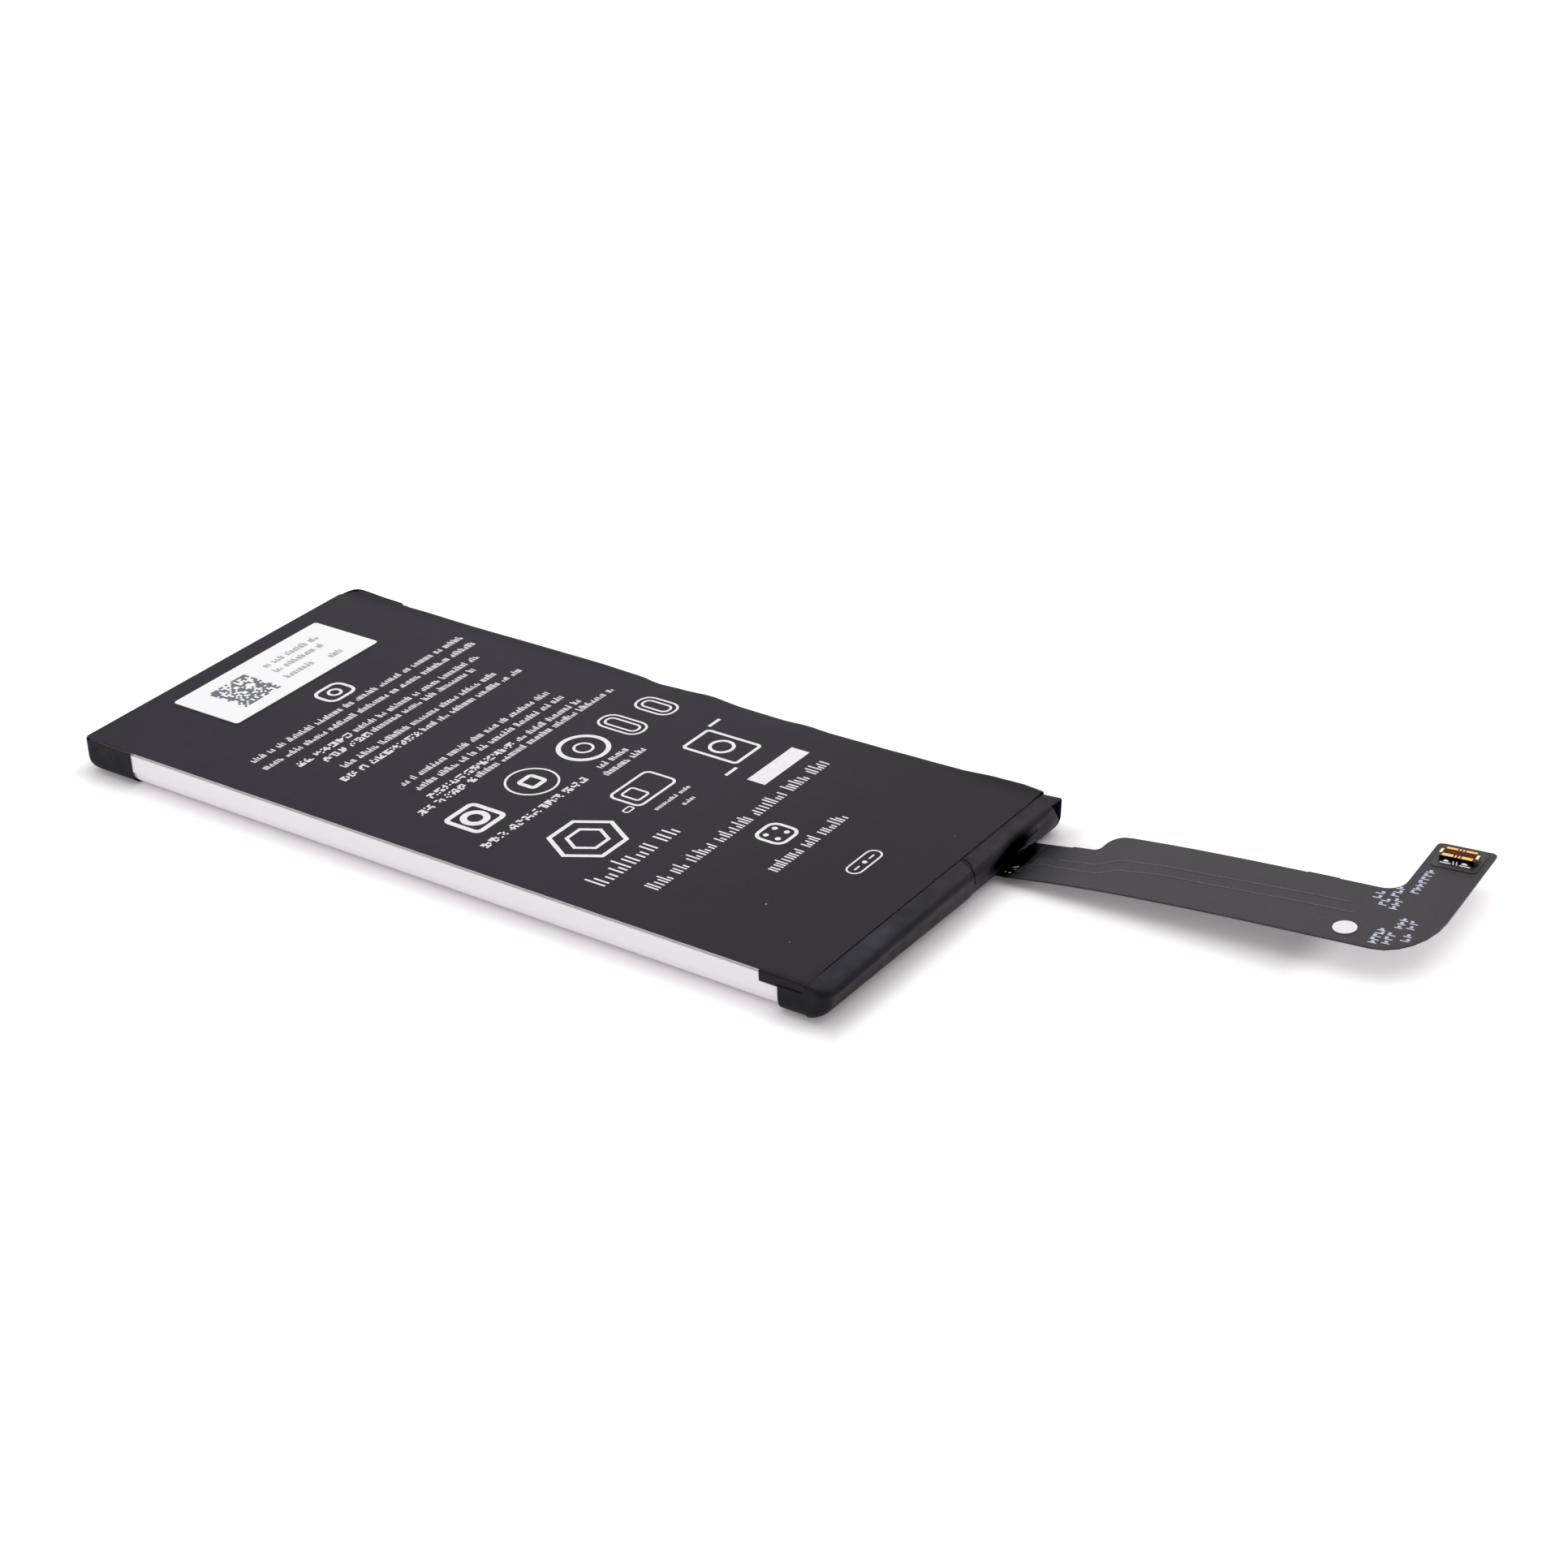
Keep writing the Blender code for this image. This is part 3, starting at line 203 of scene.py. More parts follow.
def fade_tone(made, source, factor):
    """Multiplies the colour by a factor where the source reaches 1."""
    tree = made.node_tree
    base = tree.nodes["Principled BSDF"].inputs["Base Color"]
    mixer = tree.nodes.new("ShaderNodeMix")
    mixer.data_type = "RGBA"
    mixer.blend_type = "MULTIPLY"
    tree.links.new(source, mixer.inputs["Factor"])
    tree.links.new(base.links[0].from_socket, mixer.inputs[COLOUR_A])
    mixer.inputs[COLOUR_B].default_value = (factor, factor, factor, 1.0)
    tree.links.new(mixer.outputs[COLOUR_OUT], base)


def painted_shade_spot(made, place, radii, tilt=0.0):
    """A soft dark spot of painted shade; it takes colour and sheen away."""
    heart = round_place(made, place, radii, tilt)
    fade_tone(made, heart, 0.02)
    tree = made.node_tree
    sheen = tree.nodes["Principled BSDF"].inputs["Specular IOR Level"]
    fade = tree.nodes.new("ShaderNodeMix")
    if sheen.is_linked:
        tree.links.new(sheen.links[0].from_socket, fade.inputs[NUMBER_A])
    else:
        fade.inputs[NUMBER_A].default_value = sheen.default_value
    fade.inputs[NUMBER_B].default_value = 0.0
    tree.links.new(heart, fade.inputs["Factor"])
    tree.links.new(fade.outputs[NUMBER_OUT], sheen)


# %% [markdown]
# The label film is matte charcoal plastic, printed on top. It has a fine speckle, a slow change
# of tone and a slight waviness from the soft cell under it. A second, wider relief gives that
# waviness, because moving the mesh by a few hundredths of a millimetre would need far more faces.

# %% Label film
HEAD_PAINTED_SHADE = (8, 40)
NEAR_EDGE_PAINTED_SHADE = (-21.72, -21.82)

label_film = finish("label_charcoal", (0.018, 0.011, 0.024), 0.6, specular=0.21)
speckle = noise_of(label_film, 0.16 * MM, 2.0)
spread_tone(label_film, speckle, (0.015, 0.008, 0.0215), (0.0235, 0.0145, 0.0325))
# Painted shade: the film darkens towards the head end, where less light falls.
fade_tone(label_film, along(label_film, "X", *HEAD_PAINTED_SHADE), 0.55)
# Painted shade: the film darkens on its near edge, where it turns down.
fade_tone(label_film, along(label_film, "Y", *NEAR_EDGE_PAINTED_SHADE), 0.45)
fade_tone(label_film, noise_of(label_film, 3 * MM, 2.0), 0.6)
add_relief(label_film, noise_of(label_film, 0.12 * MM), 0.004 * MM, 0.6)
add_relief(label_film, noise_of(label_film, 14 * MM, 1.0, (1.6, 1.0, 1.0)), 0.10 * MM, 0.35)
print("label film:", len(label_film.node_tree.nodes), "nodes")

# %% [markdown]
# The tape is a smoother, cooler black, so it picks up soft streaks of light. Its colour also carries
# painted light and shade: darker towards the near side, lighter on the head face, and a painted sheen on
# the strip on top of the head near one end. The tail leaves through a slot in the head face, and two
# spots of painted shade keep that slot dark.

# %% Black tape
FROM_NEAR_TO_FAR = (-22, 14)
FACE_PAINTED_LIGHTER = (48.7, 49.1)
TAPE_NEAR = (0.0059, 0.0053, 0.0100)
TAPE_FAR = (0.026, 0.021, 0.034)

black_tape = finish("black_tape", (0.009, 0.006, 0.014), 0.5, specular=0.14)
# Painted shade: the tape darkens towards the near side, away from the light.
spread_tone(black_tape, along(black_tape, "Y", *FROM_NEAR_TO_FAR), TAPE_NEAR, TAPE_FAR, 0.0, 1.0)
fade_tone(black_tape, noise_of(black_tape, 3.5 * MM, 3.0, (0.7, 2.5, 1.0)), 0.4)
# Painted light: the tape on the head face is made lighter than on top.
fade_tone(black_tape, along(black_tape, "X", *FACE_PAINTED_LIGHTER), 2.2)
# A painted sheen on the strip near its near end.
fade_tone(black_tape, round_place(black_tape, (47.3, -15.0, 4.2), (1.7, 9.0, 3.0)), 3.2)
# Painted shade: the slot in the head face is kept dark.
painted_shade_spot(black_tape, (49.0, 11.6, 2.7), (3.0, 5.4, 1.35), 6)
painted_shade_spot(black_tape, (49.2, 11.4, 1.4), (3.0, 2.6, 1.4))
spread_gloss(black_tape, noise_of(black_tape, 1.8 * MM), 0.42, 0.6)
add_relief(black_tape, noise_of(black_tape, 0.2 * MM), 0.006 * MM, 0.5)
add_relief(black_tape, noise_of(black_tape, 3.2 * MM, 2.0), 0.11 * MM, 0.5)
print("black tape:", len(black_tape.node_tree.nodes), "nodes")

# %% [markdown]
# The pouch is aluminium between two plastic skins. A metallic shader would mirror the room, and
# the nylon outside scatters light like pale paint, so the foil is a pale, half-matte surface with
# creases drawn out along the pack.

# %% Silver foil
foil = finish("silver_foil", (0.90, 0.88, 0.91), 0.42)
add_relief(foil, noise_of(foil, 0.4 * MM), 0.008 * MM, 0.4)
add_relief(foil, noise_of(foil, 6 * MM, 2.0, (4.0, 1.0, 1.0)), 0.06 * MM, 0.3)
print("silver foil:", len(foil.node_tree.nodes), "nodes")


# %% [markdown]
# The small materials need only one pattern each. Hard ones get a fine relief, which breaks up
# their highlights. Inks and shades waver between two tones. Two helpers keep each of them to one
# line.


# %% Two kinds of small finish
def grained(name, colour, roughness, grain, height, strength=0.5, metallic=0.0, specular=0.5):
    """A finish with one fine relief; grain and height in millimetres."""
    made = finish(name, colour, roughness, metallic, specular)
    add_relief(made, noise_of(made, grain * MM), height * MM, strength)
    return made


def mottled(name, low, high, grain, roughness, specular=0.5):
    """A finish that wavers between two tones; grain in millimetres."""
    middle = [(a + b) / 2 for a, b in zip(low, high)]
    made = finish(name, middle, roughness, specular=specular)
    spread_tone(made, noise_of(made, grain * MM), low, high)
    return made


# %% [markdown]
# The sticker is coated white paper, and the inks lie thin on film and paper, so more or less of
# the ground shows through. Two close tones say that without a second layer.

# %% Paper and ink
sticker_paper = grained("sticker_paper", (0.99, 0.975, 0.99), 0.6, 0.1, 0.002, 0.4)
white_ink = mottled("white_ink", (0.82, 0.80, 0.84), (0.95, 0.93, 0.96), 0.3, 0.6)
code_ink = mottled("code_ink", (0.07, 0.075, 0.10), (0.20, 0.21, 0.26), 0.2, 0.6)
grey_ink = mottled("grey_ink", (0.16, 0.17, 0.22), (0.36, 0.38, 0.45), 0.2, 0.6)
tail_ink = mottled("tail_ink", (0.52, 0.53, 0.66), (0.72, 0.73, 0.86), 0.2, 0.55)
print("inks:", white_ink.name, code_ink.name, grey_ink.name, tail_ink.name)

# %% [markdown]
# The contacts are gold plated, the clips and pads tinned. These are true metals, so they are metallic
# shaders with a warm or a neutral colour. The solder's gleam is painted: it is a pale, near white,
# glossy surface, so that it gleams even where only the white floor is mirrored in it.

# %% Plug, metals and solder
contact_gold = grained("contact_gold", (0.93, 0.47, 0.13), 0.28, 0.06, 0.002, metallic=1.0)
pale_gold = grained("pale_gold", (0.92, 0.72, 0.46), 0.3, 0.06, 0.002, metallic=1.0)
coppery_edge_line = grained("coppery_edge_line", (0.42, 0.20, 0.10), 0.45, 0.1, 0.003, 0.6, metallic=0.5)
bright_metal = grained("tinned_metal", (0.82, 0.82, 0.83), 0.3, 0.08, 0.003, metallic=1.0)
# Painted highlight: the solder is near white so that it gleams.
solder_painted_gleam = grained("solder_painted_gleam", (0.98, 0.98, 1.0), 0.25, 0.1, 0.004, specular=0.9)
plug_resin = grained("plug_resin", (0.010, 0.010, 0.012), 0.4, 0.05, 0.002)
# Painted shade: a dark brown between the plug's rails, and a black with no sheen for sheets and lines
# that stand for shade.
rail_shade = mottled("rail_shade", (0.030, 0.008, 0.004), (0.110, 0.030, 0.010), 0.3, 0.6, 0.1)
painted_shade_black = grained("painted_shade_black", (0.002, 0.002, 0.003), 0.9, 0.1, 0.004, specular=0.0)
print("metals:", contact_gold.name, pale_gold.name, coppery_edge_line.name, bright_metal.name)

# %% [markdown]
# The board lies under the tape and no view shows it. Its pieces still get the finish that such a
# board has, so that the part can be taken apart.

# %% What lies on the board
board_mask = grained("board_mask", (0.02, 0.13, 0.07), 0.4, 0.3, 0.004)
pale_film = grained("pale_film", (0.60, 0.58, 0.50), 0.6, 0.2, 0.004)
chip_resin = grained("chip_resin", (0.03, 0.03, 0.035), 0.55, 0.08, 0.003)
tan_ceramic = grained("tan_ceramic", (0.42, 0.30, 0.19), 0.5, 0.08, 0.003)
print("board:", board_mask.name, pale_film.name, chip_resin.name, tan_ceramic.name)

# %% [markdown]
# The tail is a flexible circuit: copper between two black films. Its cover is a little lighter than the
# tape, carries painted shade where it enters the slot, and is scuffed where tape was torn off it. The
# traces lift the cover into faint ridges, whose painted sheen is a piece of its own further down.

# %% The tail's cover
SLOT_PAINTED_SHADE = ((48.9, 12.8, 1.2), (1.7, 5.2, 3.0))
NECK_PAINTED_SHADE = (60, 50)

coverlay = finish("tail_coverlay", (0.030, 0.023, 0.033), 0.5, specular=0.30)
cover_speckle = noise_of(coverlay, 0.25 * MM)
spread_tone(coverlay, cover_speckle, (0.024, 0.018, 0.027), (0.034, 0.027, 0.038))
# Painted shade: the cover darkens towards the slot and inside it.
fade_tone(coverlay, along(coverlay, "X", *NECK_PAINTED_SHADE), 0.25)
painted_shade_spot(coverlay, *SLOT_PAINTED_SHADE)
add_relief(coverlay, noise_of(coverlay, 0.1 * MM), 0.003 * MM, 0.6)

scuffed_coverlay = mottled(
    "scuffed_coverlay", (0.010, 0.008, 0.012), (0.034, 0.028, 0.036), 0.7, 0.5, 0.3
)
# Painted shade in the slot, on the torn tape on the tail too.
painted_shade_spot(scuffed_coverlay, *SLOT_PAINTED_SHADE)
add_relief(scuffed_coverlay, noise_of(scuffed_coverlay, 0.5 * MM), 0.03 * MM, 0.8)

dark_patch = grained("dark_patch", (0.018, 0.017, 0.020), 0.5, 0.1, 0.003, 0.6)
# A painted sheen for the trace ridges and the lip's rim; the same tone marks the real scratches.
painted_sheen_and_scratch = mottled("painted_sheen_and_scratch", (0.09, 0.08, 0.095), (0.17, 0.15, 0.175), 0.5, 0.45)
# Torn bits with their glints painted in as pale flecks.
pale_fleck_glint = mottled("pale_fleck_glint", (0.20, 0.20, 0.22), (0.55, 0.54, 0.58), 0.15, 0.5)
print(len(bpy.data.materials), "materials")

# %% [markdown]
# ## Pieces that stay as CAD
# The plug, the board and the sticker already have their right shape as CAD, so they only get
# their finish. The film, the foil, the tapes and the tail are soft or folded, and get a skin
# further down. A node that no table names is a tab, a pad, a breaker or a solder joint, all of
# bright metal.

# %% Dress the CAD nodes
finish_of_skin = {
    "label_film": label_film,
    "pouch_cell": foil,
    "tail_tape": black_tape,
    "head_tape": black_tape,
    "head_wrap": black_tape,
    "exit_tape": scuffed_coverlay,
    "slot_lip": black_tape,
    "flex_tail": coverlay,
}
finish_of_node = {
    "code_sticker": sticker_paper,
    "index_dot": white_ink,
    "plug_patch": dark_patch,
    "plug_stiffener": dark_patch,
    "plug_housing": plug_resin,
    "protection_board": board_mask,
    "board_insulator": pale_film,
    "protection_ic": chip_resin,
    "sense_resistor": chip_resin,
    "thermistor": chip_resin,
    "power_switch_1": chip_resin,
    "power_switch_2": chip_resin,
    "capacitor_1": tan_ceramic,
    "capacitor_2": tan_ceramic,
}
finish_of_kind = {
    "contact": contact_gold,
    "tab_seal": pale_film,
    "hold_down": pale_gold,
}
for name, node in nodes.items():
    if name in finish_of_skin:
        continue
    dressed = finish_of_node.get(name, bright_metal)
    for kind, kind_finish in finish_of_kind.items():
        if kind in name:
            dressed = kind_finish
    for place in node.material_slots:
        place.material = dressed
print(len(nodes) - len(finish_of_skin), "nodes dressed")


# %% [markdown]
# ## New pieces
# A new piece could be built round its own origin and moved into place. The export bakes meshes as
# they are, so here every bmesh already lies in the part's frame and its object stays at the
# origin. This helper makes the object, gives it its finish and lets it ride on the part.


# %% Turn a bmesh into a riding piece
def piece(name, bm, dressed, smooth=40.0):
    """Edges sharper than the smooth angle, in degrees, stay sharp."""
    mesh = bpy.data.meshes.new(name)
    bm.to_mesh(mesh)
    bm.free()
    mesh.materials.append(dressed)
    mesh.shade_smooth()
    mesh.set_sharp_from_angle(angle=math.radians(smooth))
    made = bpy.data.objects.new(name, mesh)
    bpy.context.scene.collection.objects.link(made)
    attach(made, "root")
    print(name, len(mesh.polygons), "faces")
    return made


# %% [markdown]
# ## Skins
# The real film and tapes are soft, and lie in slow waves over the cell. Modelling them anew could
# drift from the part, so each skin is a copy of its CAD mesh. The mesh comes as loose triangles:
# it is first merged into one closed shell, and its flat faces are joined.


# %% Copy and cut a CAD mesh
SAME_POINT = 0.0005 * MM
FLAT_ANGLE = math.radians(0.5)


def copy_of(name):
    bm = bmesh.new()
    bm.from_mesh(nodes[name].data)
    bm.transform(nodes[name].matrix_world)
    bmesh.ops.remove_doubles(bm, verts=bm.verts, dist=SAME_POINT)
    bmesh.ops.dissolve_limit(bm, angle_limit=FLAT_ANGLE, verts=bm.verts, edges=bm.edges)
    return bm


def cut_across(bm, axis, places):
    """Cuts the mesh square to an axis at each place, and keeps both sides."""
    normal = Vector((axis == "x", axis == "y", axis == "z"))
    for place in places:
        whole = bm.verts[:] + bm.edges[:] + bm.faces[:]
        bmesh.ops.bisect_plane(bm, geom=whole, plane_co=normal * place, plane_no=normal)


# %% [markdown]
# The rounded far edge stands out in some places and draws back in others, as a soft pouch does.
# Noise would wave it just as much but in the wrong places, so a short list of stops says how far
# it stands out along the pack, and the way from stop to stop is eased.

# %% How the far edge runs
FAR_STOPS = (
    (-49.6, 0.4),
    (-47.5, 0.47),
    (-43.4, 0.3),
    (-41.6, 0.26),
    (-40.4, 0.16),
    (-38.0, 0.18),
    (-30.0, 0.10),
    (-20.0, 0.16),
    (-12.0, 0.18),
    (-6.0, 0.06),
    (-3.0, -0.26),
    (0.0, -0.12),
    (4.0, 0.12),
    (8.6, -0.19),
    (14.0, -0.24),
    (17.0, -0.06),
    (20.0, -0.18),
    (26.0, -0.10),
    (32.0, 0.02),
    (36.0, 0.10),
    (41.0, 0.42),
    (44.0, 0.5),
    (46.6, 0.34),
)
WAVE_START = FAR_STOPS[0][0] * MM


def soft_step(share):
    share = min(max(share, 0.0), 1.0)
    return share * share * (3 - 2 * share)


def swell(x):
    """How far the far edge stands out at this place along the pack; below zero it draws back."""
    for (x0, out0), (x1, out1) in zip(FAR_STOPS, FAR_STOPS[1:]):
        if x0 * MM <= x <= x1 * MM:
            return MM * (out0 + (out1 - out0) * soft_step((x / MM - x0) / (x1 - x0)))
    return 0.0


print("the far edge runs from", min(out for _, out in FAR_STOPS), "to", max(out for _, out in FAR_STOPS))

# %% [markdown]
# A mesh only bends where it has points, so it is cut into short steps first. The film, the foil
# and the tape at the tail end all move by the same rule, so they stay on each other.

# %% The waving far edge
STEP_ALONG = 1.2 * MM
CUT_AT_NEAR_EDGE = 0.8 * MM
CUTS_BEHIND_FAR_EDGE = (0.9, 1.4, 2.2, 3.2, 4.6)
CORNER_INSET = 0.15 * MM
CORNER_SPREAD = 0.75 * MM
CORNER_SHARE = 0.7
BAND_SPREAD = 2.2 * MM
SINK_SHARE = 0.3


def nearness(distance, spread):
    return math.exp(-((distance / spread) ** 2))


def let_wave(bm, swells):
    """Swelling sharpens the top corner; drawing back softens and moves a wider band."""
    steps = int((seam_x - WAVE_START) / STEP_ALONG)
    cut_across(bm, "x", [WAVE_START + i * STEP_ALONG for i in range(steps + 1)])
    behind = [far_y - reach * MM for reach in CUTS_BEHIND_FAR_EDGE]
    cut_across(bm, "y", [near_y + CUT_AT_NEAR_EDGE] + behind)
    corner = Vector((0, far_y - CORNER_INSET, top_z - CORNER_INSET))
    for vert in bm.verts:
        out = swell(vert.co.x)
        if out > 0 and swells:
            section = Vector((0, vert.co.y, vert.co.z))
            at_corner = nearness((section - corner).length, CORNER_SPREAD)
            vert.co.y += CORNER_SHARE * out * at_corner
            vert.co.z += CORNER_SHARE * out * at_corner
        elif out < 0:
            band = nearness(far_y - vert.co.y, BAND_SPREAD)
            vert.co.y += out * band
            if vert.co.z > 0.5 * top_z:
                vert.co.z += SINK_SHARE * out * band


# %% [markdown]
# The film's near edge was cut by a blade and is slightly ragged. At the head end the film dips
# into the tape near the corner, where the seam fades out. Both are small moves of points that
# are already there.

# %% The ragged near edge and the edge that merges into the head tape
RAGGED_REACH = 0.24 * MM
RAGGED_DEPTH = 0.035 * MM
RAGGED_LENGTH = 1.3 * MM
EAR_START = 40.9 * MM
DIP_DEPTH = 0.10 * MM
DIP_CUTS = (2.4, 3.2, 4.0)
DIP_END = 4.0 * MM
DIP_LENGTH = 1.6 * MM
DIP_WIDTH = 0.5 * MM


def fray_near_edge(bm):
    for vert in bm.verts:
        if vert.co.y < near_y + RAGGED_REACH and vert.co.x < EAR_START:
            vert.co.y += RAGGED_DEPTH * noise.noise(Vector((vert.co.x / RAGGED_LENGTH, 5.0, 2.0)))


def merge_corner(bm):
    """The last millimetres of the head edge dip into the tape."""
    cut_across(bm, "x", [seam_x - DIP_WIDTH])
    cut_across(bm, "y", [near_y + reach * MM for reach in DIP_CUTS])
    for vert in bm.verts:
        if vert.co.x > seam_x - 0.1 * MM and vert.co.z > 0.9 * top_z:
            vert.co.z -= DIP_DEPTH * soft_step((near_y + DIP_END - vert.co.y) / DIP_LENGTH)


# %% [markdown]
# Long thin faces meet at the rolled edges, and plain smooth shading would smear their light over
# the flat top. The weighted normals follow the large faces, so flats stay flat and rolls round.


# %% Make the skins
def skin_of(name, shape=None):
    """A smooth copy of a node that takes the node's place; shape moves its points first."""
    bm = copy_of(name)
    if shape:
        shape(bm)
    made = piece(name + "_skin", bm, finish_of_skin[name], 35)
    even = made.modifiers.new("even_normals", "WEIGHTED_NORMAL")
    even.keep_sharp = True
    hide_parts(name)
    return made


def shape_film(bm):
    let_wave(bm, True)
    fray_near_edge(bm)
    merge_corner(bm)


skin_of("label_film", shape_film)
skin_of("pouch_cell", lambda bm: let_wave(bm, False))
skin_of("tail_tape", lambda bm: let_wave(bm, True))
for name in ("head_tape", "head_wrap", "slot_lip", "exit_tape"):
    skin_of(name)
skin_of("flex_tail")

# %% [markdown]
# ## Print
# The print is a thin layer of white ink. A picture could carry it, but it would blur up close, so
# the print is thin solid shapes: rows of short strokes in word-like groups, and plain outlined
# marks. Every shape starts flat on one level, and one extrude at the end gives the whole print
# its thickness.

# %% Flat shapes
INK_THICKNESS = 0.012 * MM
INK_GAP = 0.003 * MM


def at(x, y, turn=0.0):
    """A matrix for a place in millimetres and a turn in degrees."""
    return Matrix.Translation((x * MM, y * MM, 0)) @ Matrix.Rotation(math.radians(turn), 4, "Z")


def bar(bm, place, wide, high):
    """A rectangle: wide along the frame's X, high along its Y, in millimetres."""
    size = Matrix.Diagonal((wide * MM, high * MM, 1, 1))
    made = bmesh.ops.create_grid(bm, x_segments=1, y_segments=1, size=0.5, matrix=place @ size)
    return made["verts"]


def keep_outline(bm, face, stroke):
    bmesh.ops.inset_region(
        bm, faces=[face], thickness=stroke * MM, use_boundary=True, use_even_offset=True
    )
    bmesh.ops.delete(bm, geom=[face], context="FACES")


def rounded_bar(bm, place, wide, high, corner, stroke=0.0):
    verts = bar(bm, place, wide, high)
    eased = bmesh.ops.bevel(
        bm, geom=verts, offset=corner * MM, segments=4, affect="VERTICES", profile=0.5, material=-1
    )
    if stroke:
        keep_outline(bm, eased["verts"][0].link_faces[0], stroke)


def disc(bm, place, radius, stroke=0.0, sides=32):
    made = bmesh.ops.create_circle(
        bm, cap_ends=True, segments=sides, radius=radius * MM, matrix=place
    )
    if stroke:
        keep_outline(bm, made["verts"][0].link_faces[0], stroke)


def thicken(bm, thickness=INK_THICKNESS):
    raised = bmesh.ops.extrude_face_region(bm, geom=bm.faces[:])["geom"]
    lifted = [item for item in raised if isinstance(item, bmesh.types.BMVert)]
    bmesh.ops.translate(bm, vec=(0, 0, thickness), verts=lifted)
    bmesh.ops.recalc_face_normals(bm, faces=bm.faces)


def print_on(name, bm, height, dressed):
    """Lays flat shapes just over a level face and makes them a piece of print."""
    bmesh.ops.translate(bm, vec=(0, 0, height + INK_GAP), verts=bm.verts)
    thicken(bm)
    return piece(name, bm, dressed)


# %% [markdown]
# Rows of print read as rows because of their rhythm: strokes of a few heights, close together in
# groups, with gaps between the groups. A seeded random choice gives that rhythm and is the same
# in every run.

# %% Rows of strokes
picker = random.Random(7)
GROUP_GAP = 0.25
BLOCK_CELL = 0.9
BLOCK_FILL = 0.62


def word_row(bm, x, start, end, high=0.74, stroke=0.155):
    """Word-like groups of upright strokes along Y; x is the row's middle, all in millimetres."""
    pitch = max(1.5 * stroke, high / 3)
    y = start
    while y < end - 0.5:
        for _ in range(picker.randint(2, 8)):
            strokes = picker.choice((1, 2, 2, 2, 3))
            for _ in range(strokes):
                if y > end:
                    return
                tall = high * picker.choice((0.6, 1.0, 1.0, 1.0, 1.35))
                bar(bm, at(x + (high - tall) / 2, y), tall, stroke)
                y += pitch
            y += 0.37 * pitch
        y += GROUP_GAP + 0.3 * high


def block_row(bm, x, start, end, high=1.0):
    """Chequered squares along Y."""
    side = high / 4
    y = start
    while y < end:
        for i in range(4):
            for k in range(4):
                if picker.random() < BLOCK_FILL:
                    place = at(x + (i - 1.5) * side, y + (k + 0.5) * side)
                    bar(bm, place, side * BLOCK_CELL, side * BLOCK_CELL)
        y += high * 1.18
        if picker.random() < 0.12:
            y += 0.5


# %% Rows on the film
bm = bmesh.new()
for x, start, end in (
    (-29.5, -16.3, 18.5),
    (-27.3, -16.8, 18.3),
    (-20.3, -12.0, 13.5),
    (-12.2, -11.8, 13.8),
    (-10.2, -11.7, 13.0),
):
    word_row(bm, x, start, end)
for x, start, turn, end in (
    (-24.7, -14.5, -6.0, 16.3),
    (-23.0, -12.1, -5.0, 13.1),
    (-18.4, -14.4, -2.0, 16.4),
    (-8.0, -12.4, 1.5, 13.2),
    (-6.5, -15.8, -7.0, 17.1),
):
    block_row(bm, x, start, turn)
    word_row(bm, x, turn + 0.8, end)
block_row(bm, 3.6, -17.5, -0.4, 1.05)
for x, start, end, high in (
    (3.4, 2.1, 6.9, 0.74),
    (5.0, 1.2, 8.0, 0.74),
    (14.1, -2.1, 4.6, 0.45),
    (15.9, 0.3, 2.1, 0.45),
    (18.1, -17.2, -4.6, 1.9),
    (23.4, -15.0, 15.85, 1.3),
    (31.6, -5.9, 6.9, 1.2),
):
    word_row(bm, x, start, end, high, 0.11 + 0.07 * high)
print(len(bm.faces), "strokes on the film")

# %% [markdown]
# The marks are outlines with a plain filling. An inset from the edge leaves the rim, and the
# inner face is deleted, which is quicker and more even than building a ring.

# %% Marks on the film
for x, y, wide, high, corner, stroke in (
    (-32.9, 0.6, 3.6, 4.4, 1.2, 0.42),
    (-1.0, -13.3, 5.1, 5.0, 0.9, 0.6),
    (-0.82, -4.1, 2.6, 2.6, 0.6, 0.55),
    (-0.4, 11.1, 6.0, 3.2, 1.4, 0.28),
    (-0.4, 11.1, 4.6, 1.8, 0.8, 0.28),
    (0.2, 16.5, 5.2, 3.2, 1.4, 0.28),
    (0.2, 16.5, 3.8, 1.8, 0.8, 0.28),
    (10.2, 0.8, 4.4, 6.9, 0.9, 0.32),
    (10.2, -0.6, 2.6, 2.2, 0.5, 0.28),
    (11.6, -3.6, 0.9, 1.4, 0.3, 0.18),
    (27.7, 0.3, 3.9, 3.9, 1.2, 0.4),
    (38.5, 0.2, 1.9, 5.3, 0.95, 0.2),
    (11.9, 12.6, 7.4, 5.0, 0.6, 0.4),
):
    rounded_bar(bm, at(x, y), wide, high, corner, stroke)
for x, y, radius, stroke, sides in (
    (-32.9, 0.6, 0.9, 0.35, 24),
    (-1.0, -13.3, 1.6, 0.75, 32),
    (-0.82, -4.1, 3.0, 0.26, 32),
    (-0.76, 4.66, 3.0, 0.55, 32),
    (-0.76, 4.66, 1.2, 0.3, 32),
    (11.7, -10.6, 4.3, 0.5, 6),
    (11.7, -10.6, 2.4, 0.4, 6),
    (11.9, 12.6, 1.5, 0.4, 32),
    (26.9, -0.5, 0.32, 0.0, 12),
    (28.4, -0.5, 0.32, 0.0, 12),
    (26.9, 1.1, 0.32, 0.0, 12),
    (28.4, 1.1, 0.32, 0.0, 12),
    (38.55, 0.2, 0.28, 0.0, 12),
):
    disc(bm, at(x, y), radius, stroke, sides)
